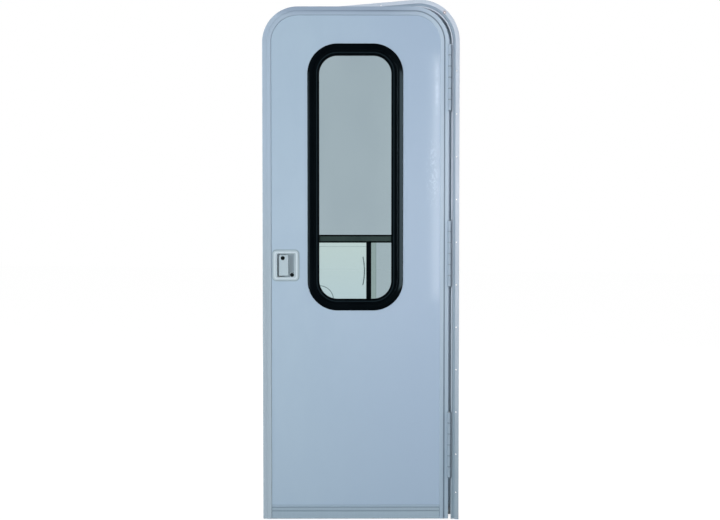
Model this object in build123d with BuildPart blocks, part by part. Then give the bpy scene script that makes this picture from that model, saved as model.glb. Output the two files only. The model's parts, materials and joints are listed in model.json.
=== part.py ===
from build123d import *
import os
from math import cos, hypot, radians, sin

# Caravan entry door in its flanged wall frame, standing a little open.
# Millimetres. +X points to the hinge side, +Y into the caravan, +Z up.
# The origin lies on the back of the hinge jamb's flange, on its screw line, at floor level.

# Door leaf
DOOR_WIDTH = 666.5
DOOR_HEIGHT = 1836.0
DOOR_THICKNESS = 38.0
DOOR_CORNER_RADIUS = 127.0
AJAR_ANGLE = 18.0
EDGE_GAP = 6.5

# Edge trim of the door leaf: a low outer band, a ramp and a raised inner band over the panel
TRIM_OUTER_BAND = 15.0
TRIM_RAMP = 2.0
TRIM_INNER_BAND = 15.0
TRIM_STEP = 1.4
TRIM_LIP = 3.0
TRIM_BEVEL = 2.0
TRIM_EDGE_ROUND = 2.0
TRIM_WALL = 2.0
TRIM_BACK_FLANGE = 20.0
RAIL_OUTER_BAND = 29.0
RAIL_MIDDLE_BAND = 13.0
RAIL_INNER_BAND = 9.0
RAIL_GROOVE_WIDTH = 2.6
RAIL_GROOVE_DEPTH = 1.6
SKIN = 2.0

# Wall frame extrusion
FLANGE_WIDTH = 28.0
FLANGE_SCREW_LINE = 18.0
FLANGE_THICKNESS = 4.5
FLANGE_COVE = 1.5
FLANGE_SLOPE = 7.0
FLANGE_EDGE = 3.0
RIB_WIDTH = 4.0
RIB_HEIGHT = 6.0
COVE_WIDTH = 10.0
FRAME_WALL = 2.5
SEAL_DIAMETER = 6.5
SEAL_BASE = 1.5
SEAL_BASE_WIDTH = 10.0
STOP_LEG = 20.0
STOP_THICKNESS = 2.0
CLOSED_CLEARANCE = 5.0
FACE_PROUD = 6.0
HEAD_CORNER_RADIUS = 133.0

# Sill
SILL_HEIGHT = 42.0
SILL_DEPTH = 40.0
SILL_WALL = 2.0
SILL_RIB = 1.0
SILL_RIB_COUNT = 5
SILL_LIP = 12.0

# Flange screw holes
SCREW_HOLE_RADIUS = 2.5
SCREW_PITCH = 152.4
SCREW_FOOT = 97.0
SCREW_FOOT_PITCH = 138.0

# Hinges: six knuckles each, three on either leaf
HINGE_LENGTH = 236.0
HINGE_FROM_FOOT = 270.0
HINGE_MIDDLE_FROM_HEAD = 879.0
HINGE_FROM_HEAD = 253.0
KNUCKLES = 6
KNUCKLE_GAP = 1.0
BARREL_RADIUS = 6.0
BARREL_RELIEF = 1.0
HINGE_PIN_RADIUS = 2.5
RUNNING_CLEARANCE = 0.05
LEAF_THICKNESS = 1.5
LEAF_DEPTH = 24.0
AXIS_FROM_EDGE = 1.5
AXIS_FROM_FACE = 6.5
HINGE_RELIEF = 2.0
HINGE_RELIEF_END = 4.0

# Window
WINDOW_U = 331.7
WINDOW_FROM_HEAD = 131.3
RING_WIDTH = 341.8
RING_HEIGHT = 952.4
RING_CORNER_RADIUS = 107.0
RING_BAND = 42.0
RING_PROUD = 8.4
RING_EDGE = 2.0
RING_SHOULDER = 20.0
RING_CROWN = 27.0
RING_SHELF_DROP = 1.5
RING_RIDGE_INSET = 9.6
RING_RIDGE_HALF = 1.3
RING_RIDGE_HEIGHT = 1.3
RING_BEVEL = 6.0
RING_INNER_EDGE = 1.0
RING_SEAT = 15.0
SLEEVE_WALL = 4.0
SLEEVE_DEPTH = 33.0
SLEEVE_CLEARANCE = 1.0
GLASS_THICKNESS = 4.0
GLASS_SEAT_DEPTH = 12.0
GLASS_LAP = 13.0
GLASS_SLOT_CLEARANCE = 0.15
GLASS_SLOT_DEPTH = 7.0
SLIDER_SETBACK = 6.0
SLIDER_CLEARANCE = 0.3
LOWER_SIGHT_HEIGHT = 201.6
TRANSOM_HEIGHT = 27.4
TRANSOM_FRONT = 7.0
TRANSOM_DEPTH = 18.0
RAIL_U = 380.0
RAIL_WIDTH = 17.9
RAIL_FRONT = 8.0
GARNISH_PROUD = 8.0
GARNISH_BAND = 35.0
GARNISH_ROUND = 3.0
PULL_FROM_SIGHT_FOOT = 99.7
PULL_LENGTH = 103.0
PULL_BOW = 6.0
PULL_WIDTH = 4.0
PULL_FROM_RAIL = 6.4

# Lock
LOCK_U = 82.5
LOCK_FROM_HEAD = 921.7
BEZEL_WIDTH = 93.5
BEZEL_HEIGHT = 108.5
BEZEL_THICKNESS = 2.5
BEZEL_RADIUS = 14.0
BEZEL_ROUND = 1.6
RIM_WIDTH = 3.5
RIM_HEIGHT = 1.5
RIM_ROUND = 1.2
RECESS_WIDTH = 61.0
RECESS_HEIGHT = 84.0
RECESS_RADIUS = 5.0
RECESS_DEPTH = 26.0
PAN_WALL = 2.0
LOCK_HOLE_CLEARANCE = 1.0
PADDLE_WIDTH = 32.6
PADDLE_SIDE_GAP = 6.8
PADDLE_END_GAP = 5.0
PADDLE_PLATE = 3.0
PADDLE_LIP_DEPTH = 11.0
PADDLE_SETBACK = 3.0
PADDLE_BARREL_RADIUS = 3.2
PADDLE_AXIS_INSET = 3.6
PADDLE_AXIS_DEPTH = 5.0
PADDLE_PIN_RADIUS = 1.5
KEY_PLUG_RADIUS = 7.2
KEY_PLUG_LENGTH = 9.0
PADDLE_KEY_INSET = 13.2
PADDLE_KEY_DROP = 16.0
KEY_BOSS_WALL = 1.6
DEADBOLT_FROM_SIDE = 7.7
DEADBOLT_FROM_FOOT = 8.0
DEADBOLT_PLUG_RADIUS = 7.2
DEADBOLT_PLUG_LENGTH = 12.0
KEYWAY_WIDTH = 1.6
KEYWAY_HEIGHT = 7.0
KEYWAY_DEPTH = 2.0
FACEPLATE_WIDTH = 18.0
FACEPLATE_HEIGHT = 120.0
FACEPLATE_DEPTH = 10.0
FACEPLATE_LAND = 2.0
BOLT_WIDTH = 12.0
BOLT_HEIGHT = 18.0
BOLT_LENGTH = 30.0
BOLT_SPREAD = 22.0
BOLT_CLEARANCE = 0.3
FIT_CLEARANCE = 0.15
INNER_PLATE = 3.0
INNER_PLATE_ROUND = 1.5
LEVER_WIDTH = 14.0
LEVER_LENGTH = 62.0
LEVER_STANDOFF = 14.0
LEVER_THICKNESS = 7.0
THUMB_RADIUS = 11.0
THUMB_HEIGHT = 4.0
THUMB_MARGIN = 1.5
THUMB_BLADE = 9.0
THUMB_BLADE_WIDTH = 4.5

# Places worked out from the sizes above
frame_bottom = -SILL_HEIGHT
hinge_wall = -FLANGE_SCREW_LINE
door_hinge_edge = hinge_wall - EDGE_GAP
latch_wall = door_hinge_edge - DOOR_WIDTH - EDGE_GAP
head_wall = frame_bottom + DOOR_HEIGHT + EDGE_GAP
head_spring = head_wall - HEAD_CORNER_RADIUS
seal_height = SEAL_DIAMETER + SEAL_BASE
stop_front = DOOR_THICKNESS - FACE_PROUD + CLOSED_CLEARANCE + seal_height
frame_depth = stop_front + STOP_THICKNESS
axis_x = door_hinge_edge + AXIS_FROM_EDGE
axis_y = -FACE_PROUD - AXIS_FROM_FACE
trim_band = TRIM_OUTER_BAND + TRIM_RAMP + TRIM_INNER_BAND
panel_face = TRIM_LIP
inner_face = DOOR_THICKNESS - TRIM_WALL
rail_band = RAIL_OUTER_BAND + RAIL_MIDDLE_BAND + RAIL_INNER_BAND
knuckle_pitch = HINGE_LENGTH / KNUCKLES
hinge_centres = {
    "bottom": HINGE_FROM_FOOT,
    "middle": DOOR_HEIGHT - HINGE_MIDDLE_FROM_HEAD,
    "top": DOOR_HEIGHT - HINGE_FROM_HEAD,
}

window_v = DOOR_HEIGHT - WINDOW_FROM_HEAD - RING_HEIGHT / 2
sight_width = RING_WIDTH - 2 * RING_BAND
sight_height = RING_HEIGHT - 2 * RING_BAND
sight_radius = RING_CORNER_RADIUS - RING_BAND
sleeve_width = RING_WIDTH - 2 * RING_SEAT
sleeve_height = RING_HEIGHT - 2 * RING_SEAT
sleeve_radius = RING_CORNER_RADIUS - RING_SEAT
window_hole_width = sleeve_width + 2 * SLEEVE_CLEARANCE
window_hole_height = sleeve_height + 2 * SLEEVE_CLEARANCE
window_hole_radius = sleeve_radius + SLEEVE_CLEARANCE
glass_width = sight_width + 2 * GLASS_LAP
glass_height = sight_height + 2 * GLASS_LAP
glass_radius = sight_radius + GLASS_LAP
slider_front = GLASS_SEAT_DEPTH + SLIDER_SETBACK
sight_foot = window_v - sight_height / 2
transom_foot = sight_foot + LOWER_SIGHT_HEIGHT
transom_top = transom_foot + TRANSOM_HEIGHT

lock_v = DOOR_HEIGHT - LOCK_FROM_HEAD
pan_width = RECESS_WIDTH + 2 * PAN_WALL
pan_height = RECESS_HEIGHT + 2 * PAN_WALL
lock_hole_width = pan_width + 2 * LOCK_HOLE_CLEARANCE
lock_hole_height = pan_height + 2 * LOCK_HOLE_CLEARANCE
bezel_face = panel_face - BEZEL_THICKNESS - RIM_HEIGHT
pan_floor = bezel_face + RECESS_DEPTH
recess_left = LOCK_U - RECESS_WIDTH / 2
recess_right = LOCK_U + RECESS_WIDTH / 2
recess_foot = lock_v - RECESS_HEIGHT / 2
recess_top = lock_v + RECESS_HEIGHT / 2
paddle_left = recess_left + PADDLE_SIDE_GAP
paddle_face = bezel_face + PADDLE_SETBACK
paddle_foot = recess_foot + PADDLE_END_GAP
paddle_height = RECESS_HEIGHT - 2 * PADDLE_END_GAP
paddle_axis_u = paddle_left + PADDLE_AXIS_INSET
paddle_axis_d = paddle_face + PADDLE_AXIS_DEPTH
paddle_key_u = paddle_left + PADDLE_KEY_INSET
paddle_key_v = recess_top - PADDLE_KEY_DROP
deadbolt_u = recess_right - DEADBOLT_FROM_SIDE
deadbolt_v = recess_foot + DEADBOLT_FROM_FOOT
bolt_d = FACEPLATE_DEPTH + FACEPLATE_WIDTH / 2

# Planes. The door's own plane has x from the latch edge, y in from its face and z from its foot.
hinge_line = Plane(
    (axis_x, axis_y, frame_bottom),
    x_dir=(cos(radians(AJAR_ANGLE)), sin(radians(AJAR_ANGLE)), 0),
    z_dir=(0, 0, 1),
)
door = Plane(hinge_line * Pos(-DOOR_WIDTH - AXIS_FROM_EDGE, AXIS_FROM_FACE, 0))
door_inward = Axis(door.origin, door.y_dir)


def door_face(depth):
    """Plane parallel to the door's face and depth behind it, seen from outside."""
    return Plane(door * Pos(0, depth, 0) * Rot(90, 0, 0))


def door_level(height):
    """Level plane across the door, height above its foot."""
    return door.offset(height)


def frame_face(depth):
    """Plane parallel to the wall and depth behind its outer surface, seen from outside."""
    return Plane.XZ.offset(-depth)


def frame_level(height):
    """Level plane across the frame, height above its foot."""
    return Plane.XY.offset(frame_bottom + height)


def save(piece, label):
    """Label a finished piece and write it under that name."""
    piece.part.label = label
    export_step(piece.part, f"parts/{label}.step")


os.makedirs("parts", exist_ok=True)


def frame_section(wall, out):
    """Frame extrusion in plan: flange with rib, cove, screw strip and sloped edge, wall, stop leg."""
    cove_end = RIB_WIDTH + COVE_WIDTH
    with BuildSketch(mode=Mode.PRIVATE) as section:
        with BuildLine():
            Polyline(
                (wall + out * cove_end, -FLANGE_THICKNESS),
                (wall + out * (FLANGE_WIDTH - FLANGE_SLOPE), -FLANGE_THICKNESS),
                (wall + out * FLANGE_WIDTH, -FLANGE_EDGE),
                (wall + out * FLANGE_WIDTH, 0),
                (wall + out * FRAME_WALL, 0),
                (wall + out * FRAME_WALL, frame_depth),
                (wall - out * STOP_LEG, frame_depth),
                (wall - out * STOP_LEG, stop_front),
                (wall, stop_front),
                (wall, -RIB_HEIGHT),
                (wall + out * RIB_WIDTH, -RIB_HEIGHT),
                (wall + out * RIB_WIDTH, -FLANGE_THICKNESS),
            )
            ThreePointArc(
                (wall + out * RIB_WIDTH, -FLANGE_THICKNESS),
                (wall + out * (RIB_WIDTH + cove_end) / 2, -FLANGE_COVE),
                (wall + out * cove_end, -FLANGE_THICKNESS),
            )
        make_face()
    return section.sketch


jamb_height = head_spring - frame_bottom
second_screw = SCREW_FOOT + SCREW_FOOT_PITCH
screw_pitches = int((jamb_height - second_screw) // SCREW_PITCH)
screw_heights = [SCREW_FOOT] + [second_screw + SCREW_PITCH * step for step in range(screw_pitches + 1)]

# Hinge jamb: relieved at the hinges, its stop leg cut off where the sill passes
with BuildPart() as hinge_jamb:
    with BuildSketch(frame_level(0)):
        add(frame_section(hinge_wall, 1))
    extrude(amount=jamb_height)
    with BuildSketch(frame_face(stop_front)):
        with Locations((hinge_wall, frame_bottom)):
            Rectangle(STOP_LEG, SILL_HEIGHT, align=(Align.MAX, Align.MIN))
    extrude(amount=-STOP_THICKNESS, mode=Mode.SUBTRACT)
    with BuildSketch(frame_face(0)):
        for centre in hinge_centres.values():
            with Locations((hinge_wall, frame_bottom + centre)):
                Rectangle(
                    HINGE_RELIEF,
                    HINGE_LENGTH + 2 * HINGE_RELIEF_END,
                    align=(Align.MIN, Align.CENTER),
                )
    extrude(amount=RIB_HEIGHT, mode=Mode.SUBTRACT)
    with BuildSketch(frame_face(0)):
        with Locations(*[(0, frame_bottom + height) for height in screw_heights]):
            Circle(SCREW_HOLE_RADIUS)
    extrude(amount=RIB_HEIGHT, mode=Mode.SUBTRACT)
save(hinge_jamb, "hinge_jamb")

# Latch jamb: the same extrusion turned over, cut out for the strike plate
strike_foot = frame_bottom + lock_v - FACEPLATE_HEIGHT / 2
strike_front = FACEPLATE_DEPTH - FACE_PROUD
latch_screw_x = latch_wall - FLANGE_SCREW_LINE
with BuildPart() as latch_jamb:
    with BuildSketch(frame_level(0)):
        add(frame_section(latch_wall, -1))
    extrude(amount=jamb_height)
    with BuildSketch(frame_face(stop_front)):
        with Locations((latch_wall, frame_bottom)):
            Rectangle(STOP_LEG, SILL_HEIGHT, align=(Align.MIN, Align.MIN))
    extrude(amount=-STOP_THICKNESS, mode=Mode.SUBTRACT)
    with BuildSketch(Plane.YZ.offset(latch_wall)):
        with Locations((strike_front, strike_foot)):
            Rectangle(FACEPLATE_WIDTH, FACEPLATE_HEIGHT, align=(Align.MIN, Align.MIN))
    extrude(amount=-FRAME_WALL, mode=Mode.SUBTRACT)
    with BuildSketch(frame_face(0)):
        with Locations(*[(latch_screw_x, frame_bottom + height) for height in screw_heights]):
            Circle(SCREW_HOLE_RADIUS)
    extrude(amount=RIB_HEIGHT, mode=Mode.SUBTRACT)
save(latch_jamb, "latch_jamb")

# Head: the extrusion bent round both top corners
head_centre = (latch_wall + hinge_wall) / 2
corner_reach = (HEAD_CORNER_RADIUS + FLANGE_SCREW_LINE) * cos(radians(45))
corner_screw_z = head_spring + corner_reach
corner_screws = [
    (latch_wall + HEAD_CORNER_RADIUS - corner_reach, corner_screw_z),
    (hinge_wall - HEAD_CORNER_RADIUS + corner_reach, corner_screw_z),
]
head_screws = [
    (head_centre + side * SCREW_PITCH / 2, head_wall + FLANGE_SCREW_LINE) for side in (-1, 1)
]
with BuildPart() as frame_head:
    with BuildLine(frame_face(0)) as head_path:
        rise = JernArc((hinge_wall, head_spring), (0, 1), HEAD_CORNER_RADIUS, 90)
        across = Line(rise @ 1, (latch_wall + HEAD_CORNER_RADIUS, head_wall))
        JernArc(across @ 1, (-1, 0), HEAD_CORNER_RADIUS, 90)
    with BuildSketch(Plane.XY.offset(head_spring), mode=Mode.PRIVATE) as head_section:
        add(frame_section(hinge_wall, 1))
    sweep(sections=head_section.sketch, path=head_path.wires()[0])
    with BuildSketch(frame_face(0)):
        with Locations(*corner_screws, *head_screws):
            Circle(SCREW_HOLE_RADIUS)
    extrude(amount=RIB_HEIGHT, mode=Mode.SUBTRACT)
save(frame_head, "frame_head")

# Sill: an upright stop behind the door's foot and a ribbed tread
with BuildPart() as sill:
    with BuildSketch(Plane.YZ.offset(latch_wall)):
        with BuildLine():
            Polyline(
                (stop_front, frame_bottom),
                (stop_front, -SILL_RIB),
                (stop_front + SILL_DEPTH, -SILL_RIB),
                (stop_front + SILL_DEPTH, -SILL_LIP),
                (stop_front + SILL_DEPTH - SILL_WALL, -SILL_LIP),
                (stop_front + SILL_DEPTH - SILL_WALL, -SILL_RIB - SILL_WALL),
                (stop_front + SILL_WALL, -SILL_RIB - SILL_WALL),
                (stop_front + SILL_WALL, frame_bottom),
                close=True,
            )
        make_face()
        rib_pitch = SILL_DEPTH / (SILL_RIB_COUNT + 1)
        for step in range(SILL_RIB_COUNT):
            with Locations((stop_front + rib_pitch * (step + 1), -SILL_RIB)):
                Rectangle(rib_pitch / 3, SILL_RIB, align=(Align.CENTER, Align.MIN))
    extrude(amount=hinge_wall - latch_wall)
save(sill, "sill")


def seal_section(across, back, along):
    """Bulb on a flat base: back is the seated side's place, along the side it stands out to."""
    with BuildSketch(mode=Mode.PRIVATE) as section:
        with Locations((across, back + along * SEAL_BASE / 2)):
            Rectangle(SEAL_BASE_WIDTH, SEAL_BASE)
        with Locations((across, back + along * (seal_height - SEAL_DIAMETER / 2))):
            Circle(SEAL_DIAMETER / 2)
        with Locations((across, back + along * (SEAL_BASE + SEAL_DIAMETER / 4))):
            Rectangle(SEAL_DIAMETER / 2, SEAL_DIAMETER / 2)
    return section.sketch


# Seal: a bulb on the stop leg of both jambs and the head, and one along the sill
seal_inset = (STOP_LEG - SEAL_BASE_WIDTH) / 2 + SEAL_BASE_WIDTH / 2
seal_corner_radius = HEAD_CORNER_RADIUS - seal_inset
seal_left = latch_wall + seal_inset
seal_right = hinge_wall - seal_inset
sill_seal_z = -SILL_RIB - SEAL_BASE_WIDTH / 2
with BuildPart() as frame_seal:
    with BuildLine(frame_face(0)) as seal_path:
        FilletPolyline(
            (seal_right, 0),
            (seal_right, head_wall - seal_inset),
            (seal_left, head_wall - seal_inset),
            (seal_left, 0),
            radius=seal_corner_radius,
        )
    with BuildSketch(Plane.XY, mode=Mode.PRIVATE) as jamb_seal_section:
        add(seal_section(seal_right, stop_front, -1))
    sweep(sections=jamb_seal_section.sketch, path=seal_path.wires()[0])
    with BuildSketch(Plane((latch_wall, 0, sill_seal_z), x_dir=(0, 0, 1), z_dir=(1, 0, 0))):
        add(seal_section(0, -stop_front, 1))
    extrude(amount=hinge_wall - latch_wall)
save(frame_seal, "frame_seal")

# Strike plate: let flush into the latch jamb, with a slot for each bolt
with BuildPart() as strike_plate:
    with BuildSketch(Plane.YZ.offset(latch_wall)):
        with Locations((strike_front + FACEPLATE_WIDTH / 2, strike_foot + FACEPLATE_HEIGHT / 2)):
            Rectangle(FACEPLATE_WIDTH - 2 * FIT_CLEARANCE, FACEPLATE_HEIGHT - 2 * FIT_CLEARANCE)
            with Locations((0, -BOLT_SPREAD), (0, BOLT_SPREAD)):
                Rectangle(BOLT_WIDTH, BOLT_HEIGHT, mode=Mode.SUBTRACT)
    extrude(amount=-FRAME_WALL)
save(strike_plate, "strike_plate")


def knuckle_spans(centre, parity):
    """Foot of every second knuckle of a hinge, counted up from the first or the second."""
    foot = centre - HINGE_LENGTH / 2
    return [foot + knuckle_pitch * step for step in range(parity, KNUCKLES, 2)]


barrel_clear = BARREL_RADIUS + BARREL_RELIEF
bore_radius = HINGE_PIN_RADIUS + RUNNING_CLEARANCE
leaf_reach = AXIS_FROM_FACE + LEAF_DEPTH
knuckle_length = knuckle_pitch - KNUCKLE_GAP

for name, centre in hinge_centres.items():
    # Frame leaf: flat on the jamb's wall, its knuckles standing in front of the flange
    with BuildPart() as hinge_frame_leaf:
        with BuildSketch(frame_level(centre - HINGE_LENGTH / 2)):
            with Locations((hinge_wall, axis_y + barrel_clear)):
                Rectangle(LEAF_THICKNESS, leaf_reach - barrel_clear, align=(Align.MAX, Align.MIN))
        extrude(amount=HINGE_LENGTH)
        for foot in knuckle_spans(centre, 0):
            with BuildSketch(frame_level(foot)):
                with Locations((axis_x, axis_y)):
                    Circle(BARREL_RADIUS)
                with Locations((hinge_wall, axis_y)):
                    Rectangle(LEAF_THICKNESS, leaf_reach, align=(Align.MAX, Align.MIN))
                with Locations((axis_x, axis_y)):
                    Circle(bore_radius, mode=Mode.SUBTRACT)
            extrude(amount=knuckle_length)
    save(hinge_frame_leaf, f"hinge_frame_leaf_{name}")

    # Door leaf: flat on the door's edge, with the knuckles between
    with BuildPart() as hinge_door_leaf:
        with BuildSketch(hinge_line.offset(centre - HINGE_LENGTH / 2)):
            with Locations((-AXIS_FROM_EDGE, barrel_clear)):
                Rectangle(LEAF_THICKNESS, leaf_reach - barrel_clear, align=(Align.MIN, Align.MIN))
        extrude(amount=HINGE_LENGTH)
        for foot in knuckle_spans(centre, 1):
            with BuildSketch(hinge_line.offset(foot)):
                Circle(BARREL_RADIUS)
                with Locations((-AXIS_FROM_EDGE, 0)):
                    Rectangle(LEAF_THICKNESS, leaf_reach, align=(Align.MIN, Align.MIN))
                Circle(bore_radius, mode=Mode.SUBTRACT)
            extrude(amount=knuckle_length)
    save(hinge_door_leaf, f"hinge_door_leaf_{name}")

# Hinge pins: one through each hinge
with BuildPart() as hinge_pins:
    for centre in hinge_centres.values():
        with BuildSketch(frame_level(centre - HINGE_LENGTH / 2)):
            with Locations((axis_x, axis_y)):
                Circle(HINGE_PIN_RADIUS)
        extrude(amount=HINGE_LENGTH)
save(hinge_pins, "hinge_pins")


def trim_section(edge, into):
    """Edge trim in plan: edge is the door's edge, into the sign of the side it laps."""
    with BuildSketch(mode=Mode.PRIVATE) as section:
        with BuildLine():
            outline = Polyline(
                (edge + into * TRIM_EDGE_ROUND, TRIM_STEP),
                (edge + into * TRIM_OUTER_BAND, TRIM_STEP),
                (edge + into * (TRIM_OUTER_BAND + TRIM_RAMP), 0),
                (edge + into * (trim_band - TRIM_BEVEL), 0),
                (edge + into * trim_band, panel_face),
                (edge + into * TRIM_WALL, panel_face),
                (edge + into * TRIM_WALL, inner_face),
                (edge + into * TRIM_BACK_FLANGE, inner_face),
                (edge + into * TRIM_BACK_FLANGE, DOOR_THICKNESS),
                (edge, DOOR_THICKNESS),
                (edge, TRIM_STEP + TRIM_EDGE_ROUND),
            )
            TangentArc(outline @ 1, outline @ 0, tangent=(0, -1))
        make_face()
    return section.sketch


trim_spring = DOOR_HEIGHT - DOOR_CORNER_RADIUS

# Latch-side trim: cut out for the latch faceplate
with BuildPart() as edge_trim_latch:
    with BuildSketch(door_level(0)):
        add(trim_section(0, 1))
    extrude(amount=trim_spring)
    with BuildSketch(door_face(FACEPLATE_DEPTH)):
        with Locations((0, lock_v)):
            Rectangle(TRIM_WALL, FACEPLATE_HEIGHT, align=(Align.MIN, Align.CENTER))
    extrude(amount=-FACEPLATE_WIDTH, mode=Mode.SUBTRACT)
save(edge_trim_latch, "edge_trim_latch")

# Hinge-side trim
with BuildPart() as edge_trim_hinge:
    with BuildSketch(door_level(0)):
        add(trim_section(DOOR_WIDTH, -1))
    extrude(amount=trim_spring)
save(edge_trim_hinge, "edge_trim_hinge")

# Head trim: the same section bent round both top corners
with BuildPart() as edge_trim_head:
    with BuildLine(door_face(0)) as trim_path:
        rise = JernArc((DOOR_WIDTH, trim_spring), (0, 1), DOOR_CORNER_RADIUS, 90)
        across = Line(rise @ 1, (DOOR_CORNER_RADIUS, DOOR_HEIGHT))
        JernArc(across @ 1, (-1, 0), DOOR_CORNER_RADIUS, 90)
    with BuildSketch(door_level(trim_spring), mode=Mode.PRIVATE) as head_trim_section:
        add(trim_section(DOOR_WIDTH, -1))
    sweep(sections=head_trim_section.sketch, path=trim_path.wires()[0])
save(edge_trim_head, "edge_trim_head")

# Bottom rail: a taller section between the side trims, with two grooves and a bevelled top
rail_grooves = (RAIL_OUTER_BAND, RAIL_OUTER_BAND + RAIL_MIDDLE_BAND)
rail_side = Plane(door * Pos(trim_band, 0, 0) * Rot(0, 90, 0) * Rot(0, 0, 90))
with BuildPart() as bottom_rail:
    with BuildSketch(rail_side):
        with BuildLine():
            outline = Polyline(
                (0, TRIM_EDGE_ROUND),
                (0, rail_band - TRIM_BEVEL),
                (panel_face, rail_band),
                (panel_face, TRIM_WALL),
                (inner_face, TRIM_WALL),
                (inner_face, TRIM_BACK_FLANGE),
                (DOOR_THICKNESS, TRIM_BACK_FLANGE),
                (DOOR_THICKNESS, 0),
                (TRIM_EDGE_ROUND, 0),
            )
            TangentArc(outline @ 1, outline @ 0, tangent=(-1, 0))
        make_face()
        with Locations(*[(0, height) for height in rail_grooves]):
            Triangle(
                a=RAIL_GROOVE_WIDTH,
                b=hypot(RAIL_GROOVE_WIDTH / 2, RAIL_GROOVE_DEPTH),
                c=hypot(RAIL_GROOVE_WIDTH / 2, RAIL_GROOVE_DEPTH),
                rotation=-90,
                align=(Align.CENTER, Align.MIN),
                mode=Mode.SUBTRACT,
            )
    extrude(amount=DOOR_WIDTH - 2 * trim_band)
save(bottom_rail, "bottom_rail")


def sheet_outline():
    """Sheet inside the edge trim: square foot, radiused top corners."""
    with BuildSketch(mode=Mode.PRIVATE) as outline:
        with Locations((DOOR_WIDTH / 2, TRIM_WALL)):
            Rectangle(
                DOOR_WIDTH - 2 * TRIM_WALL,
                DOOR_HEIGHT - 2 * TRIM_WALL,
                align=(Align.CENTER, Align.MIN),
            )
        fillet(
            outline.vertices().group_by(Axis.Y)[-1],
            radius=DOOR_CORNER_RADIUS - TRIM_WALL,
        )
    return outline.sketch


def door_skin(depth):
    """One face sheet of the door, cut out for the window and the lock."""
    with BuildPart(mode=Mode.PRIVATE) as skin:
        with BuildSketch(door_face(depth)):
            add(sheet_outline())
            with Locations((WINDOW_U, window_v)):
                RectangleRounded(
                    window_hole_width, window_hole_height, window_hole_radius, mode=Mode.SUBTRACT
                )
            with Locations((LOCK_U, lock_v)):
                Rectangle(lock_hole_width, lock_hole_height, mode=Mode.SUBTRACT)
        extrude(amount=-SKIN)
    return skin


outer_skin = door_skin(panel_face)
save(outer_skin, "outer_skin")
inner_skin = door_skin(inner_face - SKIN)
save(inner_skin, "inner_skin")

# Core: four blocks laid round the window opening
core_front = panel_face + SKIN
core_depth = inner_face - SKIN - core_front
hole_left = WINDOW_U - window_hole_width / 2
hole_right = WINDOW_U + window_hole_width / 2
hole_foot = window_v - window_hole_height / 2
hole_top = window_v + window_hole_height / 2

with BuildPart() as core_above_window:
    with BuildSketch(door_face(core_front)):
        add(sheet_outline())
        with Locations((DOOR_WIDTH / 2, hole_top)):
            Rectangle(
                DOOR_WIDTH,
                DOOR_HEIGHT - hole_top,
                align=(Align.CENTER, Align.MIN),
                mode=Mode.INTERSECT,
            )
    extrude(amount=-core_depth)
save(core_above_window, "core_above_window")

with BuildPart() as core_below_window:
    with BuildSketch(door_face(core_front)):
        with Locations((TRIM_WALL, TRIM_WALL)):
            Rectangle(
                DOOR_WIDTH - 2 * TRIM_WALL,
                hole_foot - TRIM_WALL,
                align=(Align.MIN, Align.MIN),
            )
    extrude(amount=-core_depth)
save(core_below_window, "core_below_window")

with BuildPart() as core_hinge_side:
    with BuildSketch(door_face(core_front)):
        with Locations((hole_right, hole_foot)):
            Rectangle(
                DOOR_WIDTH - TRIM_WALL - hole_right,
                window_hole_height,
                align=(Align.MIN, Align.MIN),
            )
    extrude(amount=-core_depth)
save(core_hinge_side, "core_hinge_side")

# The latch-side block makes room for the lock and its bolts
with BuildPart() as core_latch_side:
    with BuildSketch(door_face(core_front)):
        with Locations((TRIM_WALL, hole_foot)):
            Rectangle(hole_left - TRIM_WALL, window_hole_height, align=(Align.MIN, Align.MIN))
        with Locations((LOCK_U, lock_v)):
            Rectangle(lock_hole_width, lock_hole_height, mode=Mode.SUBTRACT)
    extrude(amount=-core_depth)
    with BuildSketch(door_face(FACEPLATE_DEPTH)):
        with Locations((TRIM_WALL, lock_v)):
            Rectangle(
                LOCK_U - TRIM_WALL,
                FACEPLATE_HEIGHT - 2 * FACEPLATE_LAND,
                align=(Align.MIN, Align.CENTER),
            )
    extrude(amount=-FACEPLATE_WIDTH, mode=Mode.SUBTRACT)
save(core_latch_side, "core_latch_side")

# Window ring: a moulded band on the door's face, with a round shoulder, a flat crown, a ridge
# and a bevel towards the glass, and a sleeve through the door
sleeve_inside = RING_SEAT + SLEEVE_WALL
ring_shelf = RING_PROUD - RING_SHELF_DROP
ring_ridge = RING_BAND - RING_RIDGE_INSET
glass_seat = panel_face - GLASS_SEAT_DEPTH
sleeve_end = panel_face - SLEEVE_DEPTH
ring_plane = door_face(panel_face)
with BuildPart() as window_ring:
    with BuildSketch(ring_plane, mode=Mode.PRIVATE) as ring_outline:
        with Locations((WINDOW_U, window_v)):
            RectangleRounded(RING_WIDTH, RING_HEIGHT, RING_CORNER_RADIUS)
    ring_path = ring_outline.sketch.wires()[0]
    inward = ring_plane.z_dir.cross(ring_path % 0)
    ring_start = Plane(ring_path @ 0, x_dir=inward, z_dir=ring_path % 0)
    with BuildSketch(ring_start, mode=Mode.PRIVATE) as ring_section:
        with BuildLine():
            outline = Polyline(
                (RING_SHOULDER, RING_PROUD),
                (RING_CROWN, RING_PROUD),
                (RING_CROWN + RING_SHELF_DROP, ring_shelf),
                (ring_ridge - RING_RIDGE_HALF, ring_shelf),
                (ring_ridge, ring_shelf + RING_RIDGE_HEIGHT),
                (ring_ridge + RING_RIDGE_HALF, ring_shelf),
                (RING_BAND - RING_BEVEL, ring_shelf),
                (RING_BAND, RING_INNER_EDGE),
                (RING_BAND, glass_seat),
                (sleeve_inside, glass_seat),
                (sleeve_inside, sleeve_end),
                (RING_SEAT, sleeve_end),
                (RING_SEAT, 0),
                (0, 0),
                (0, RING_EDGE),
            )
            TangentArc(outline @ 0, outline @ 1, tangent=(-1, 0))
        make_face()
    sweep(sections=ring_section.sketch, path=ring_path)
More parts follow.
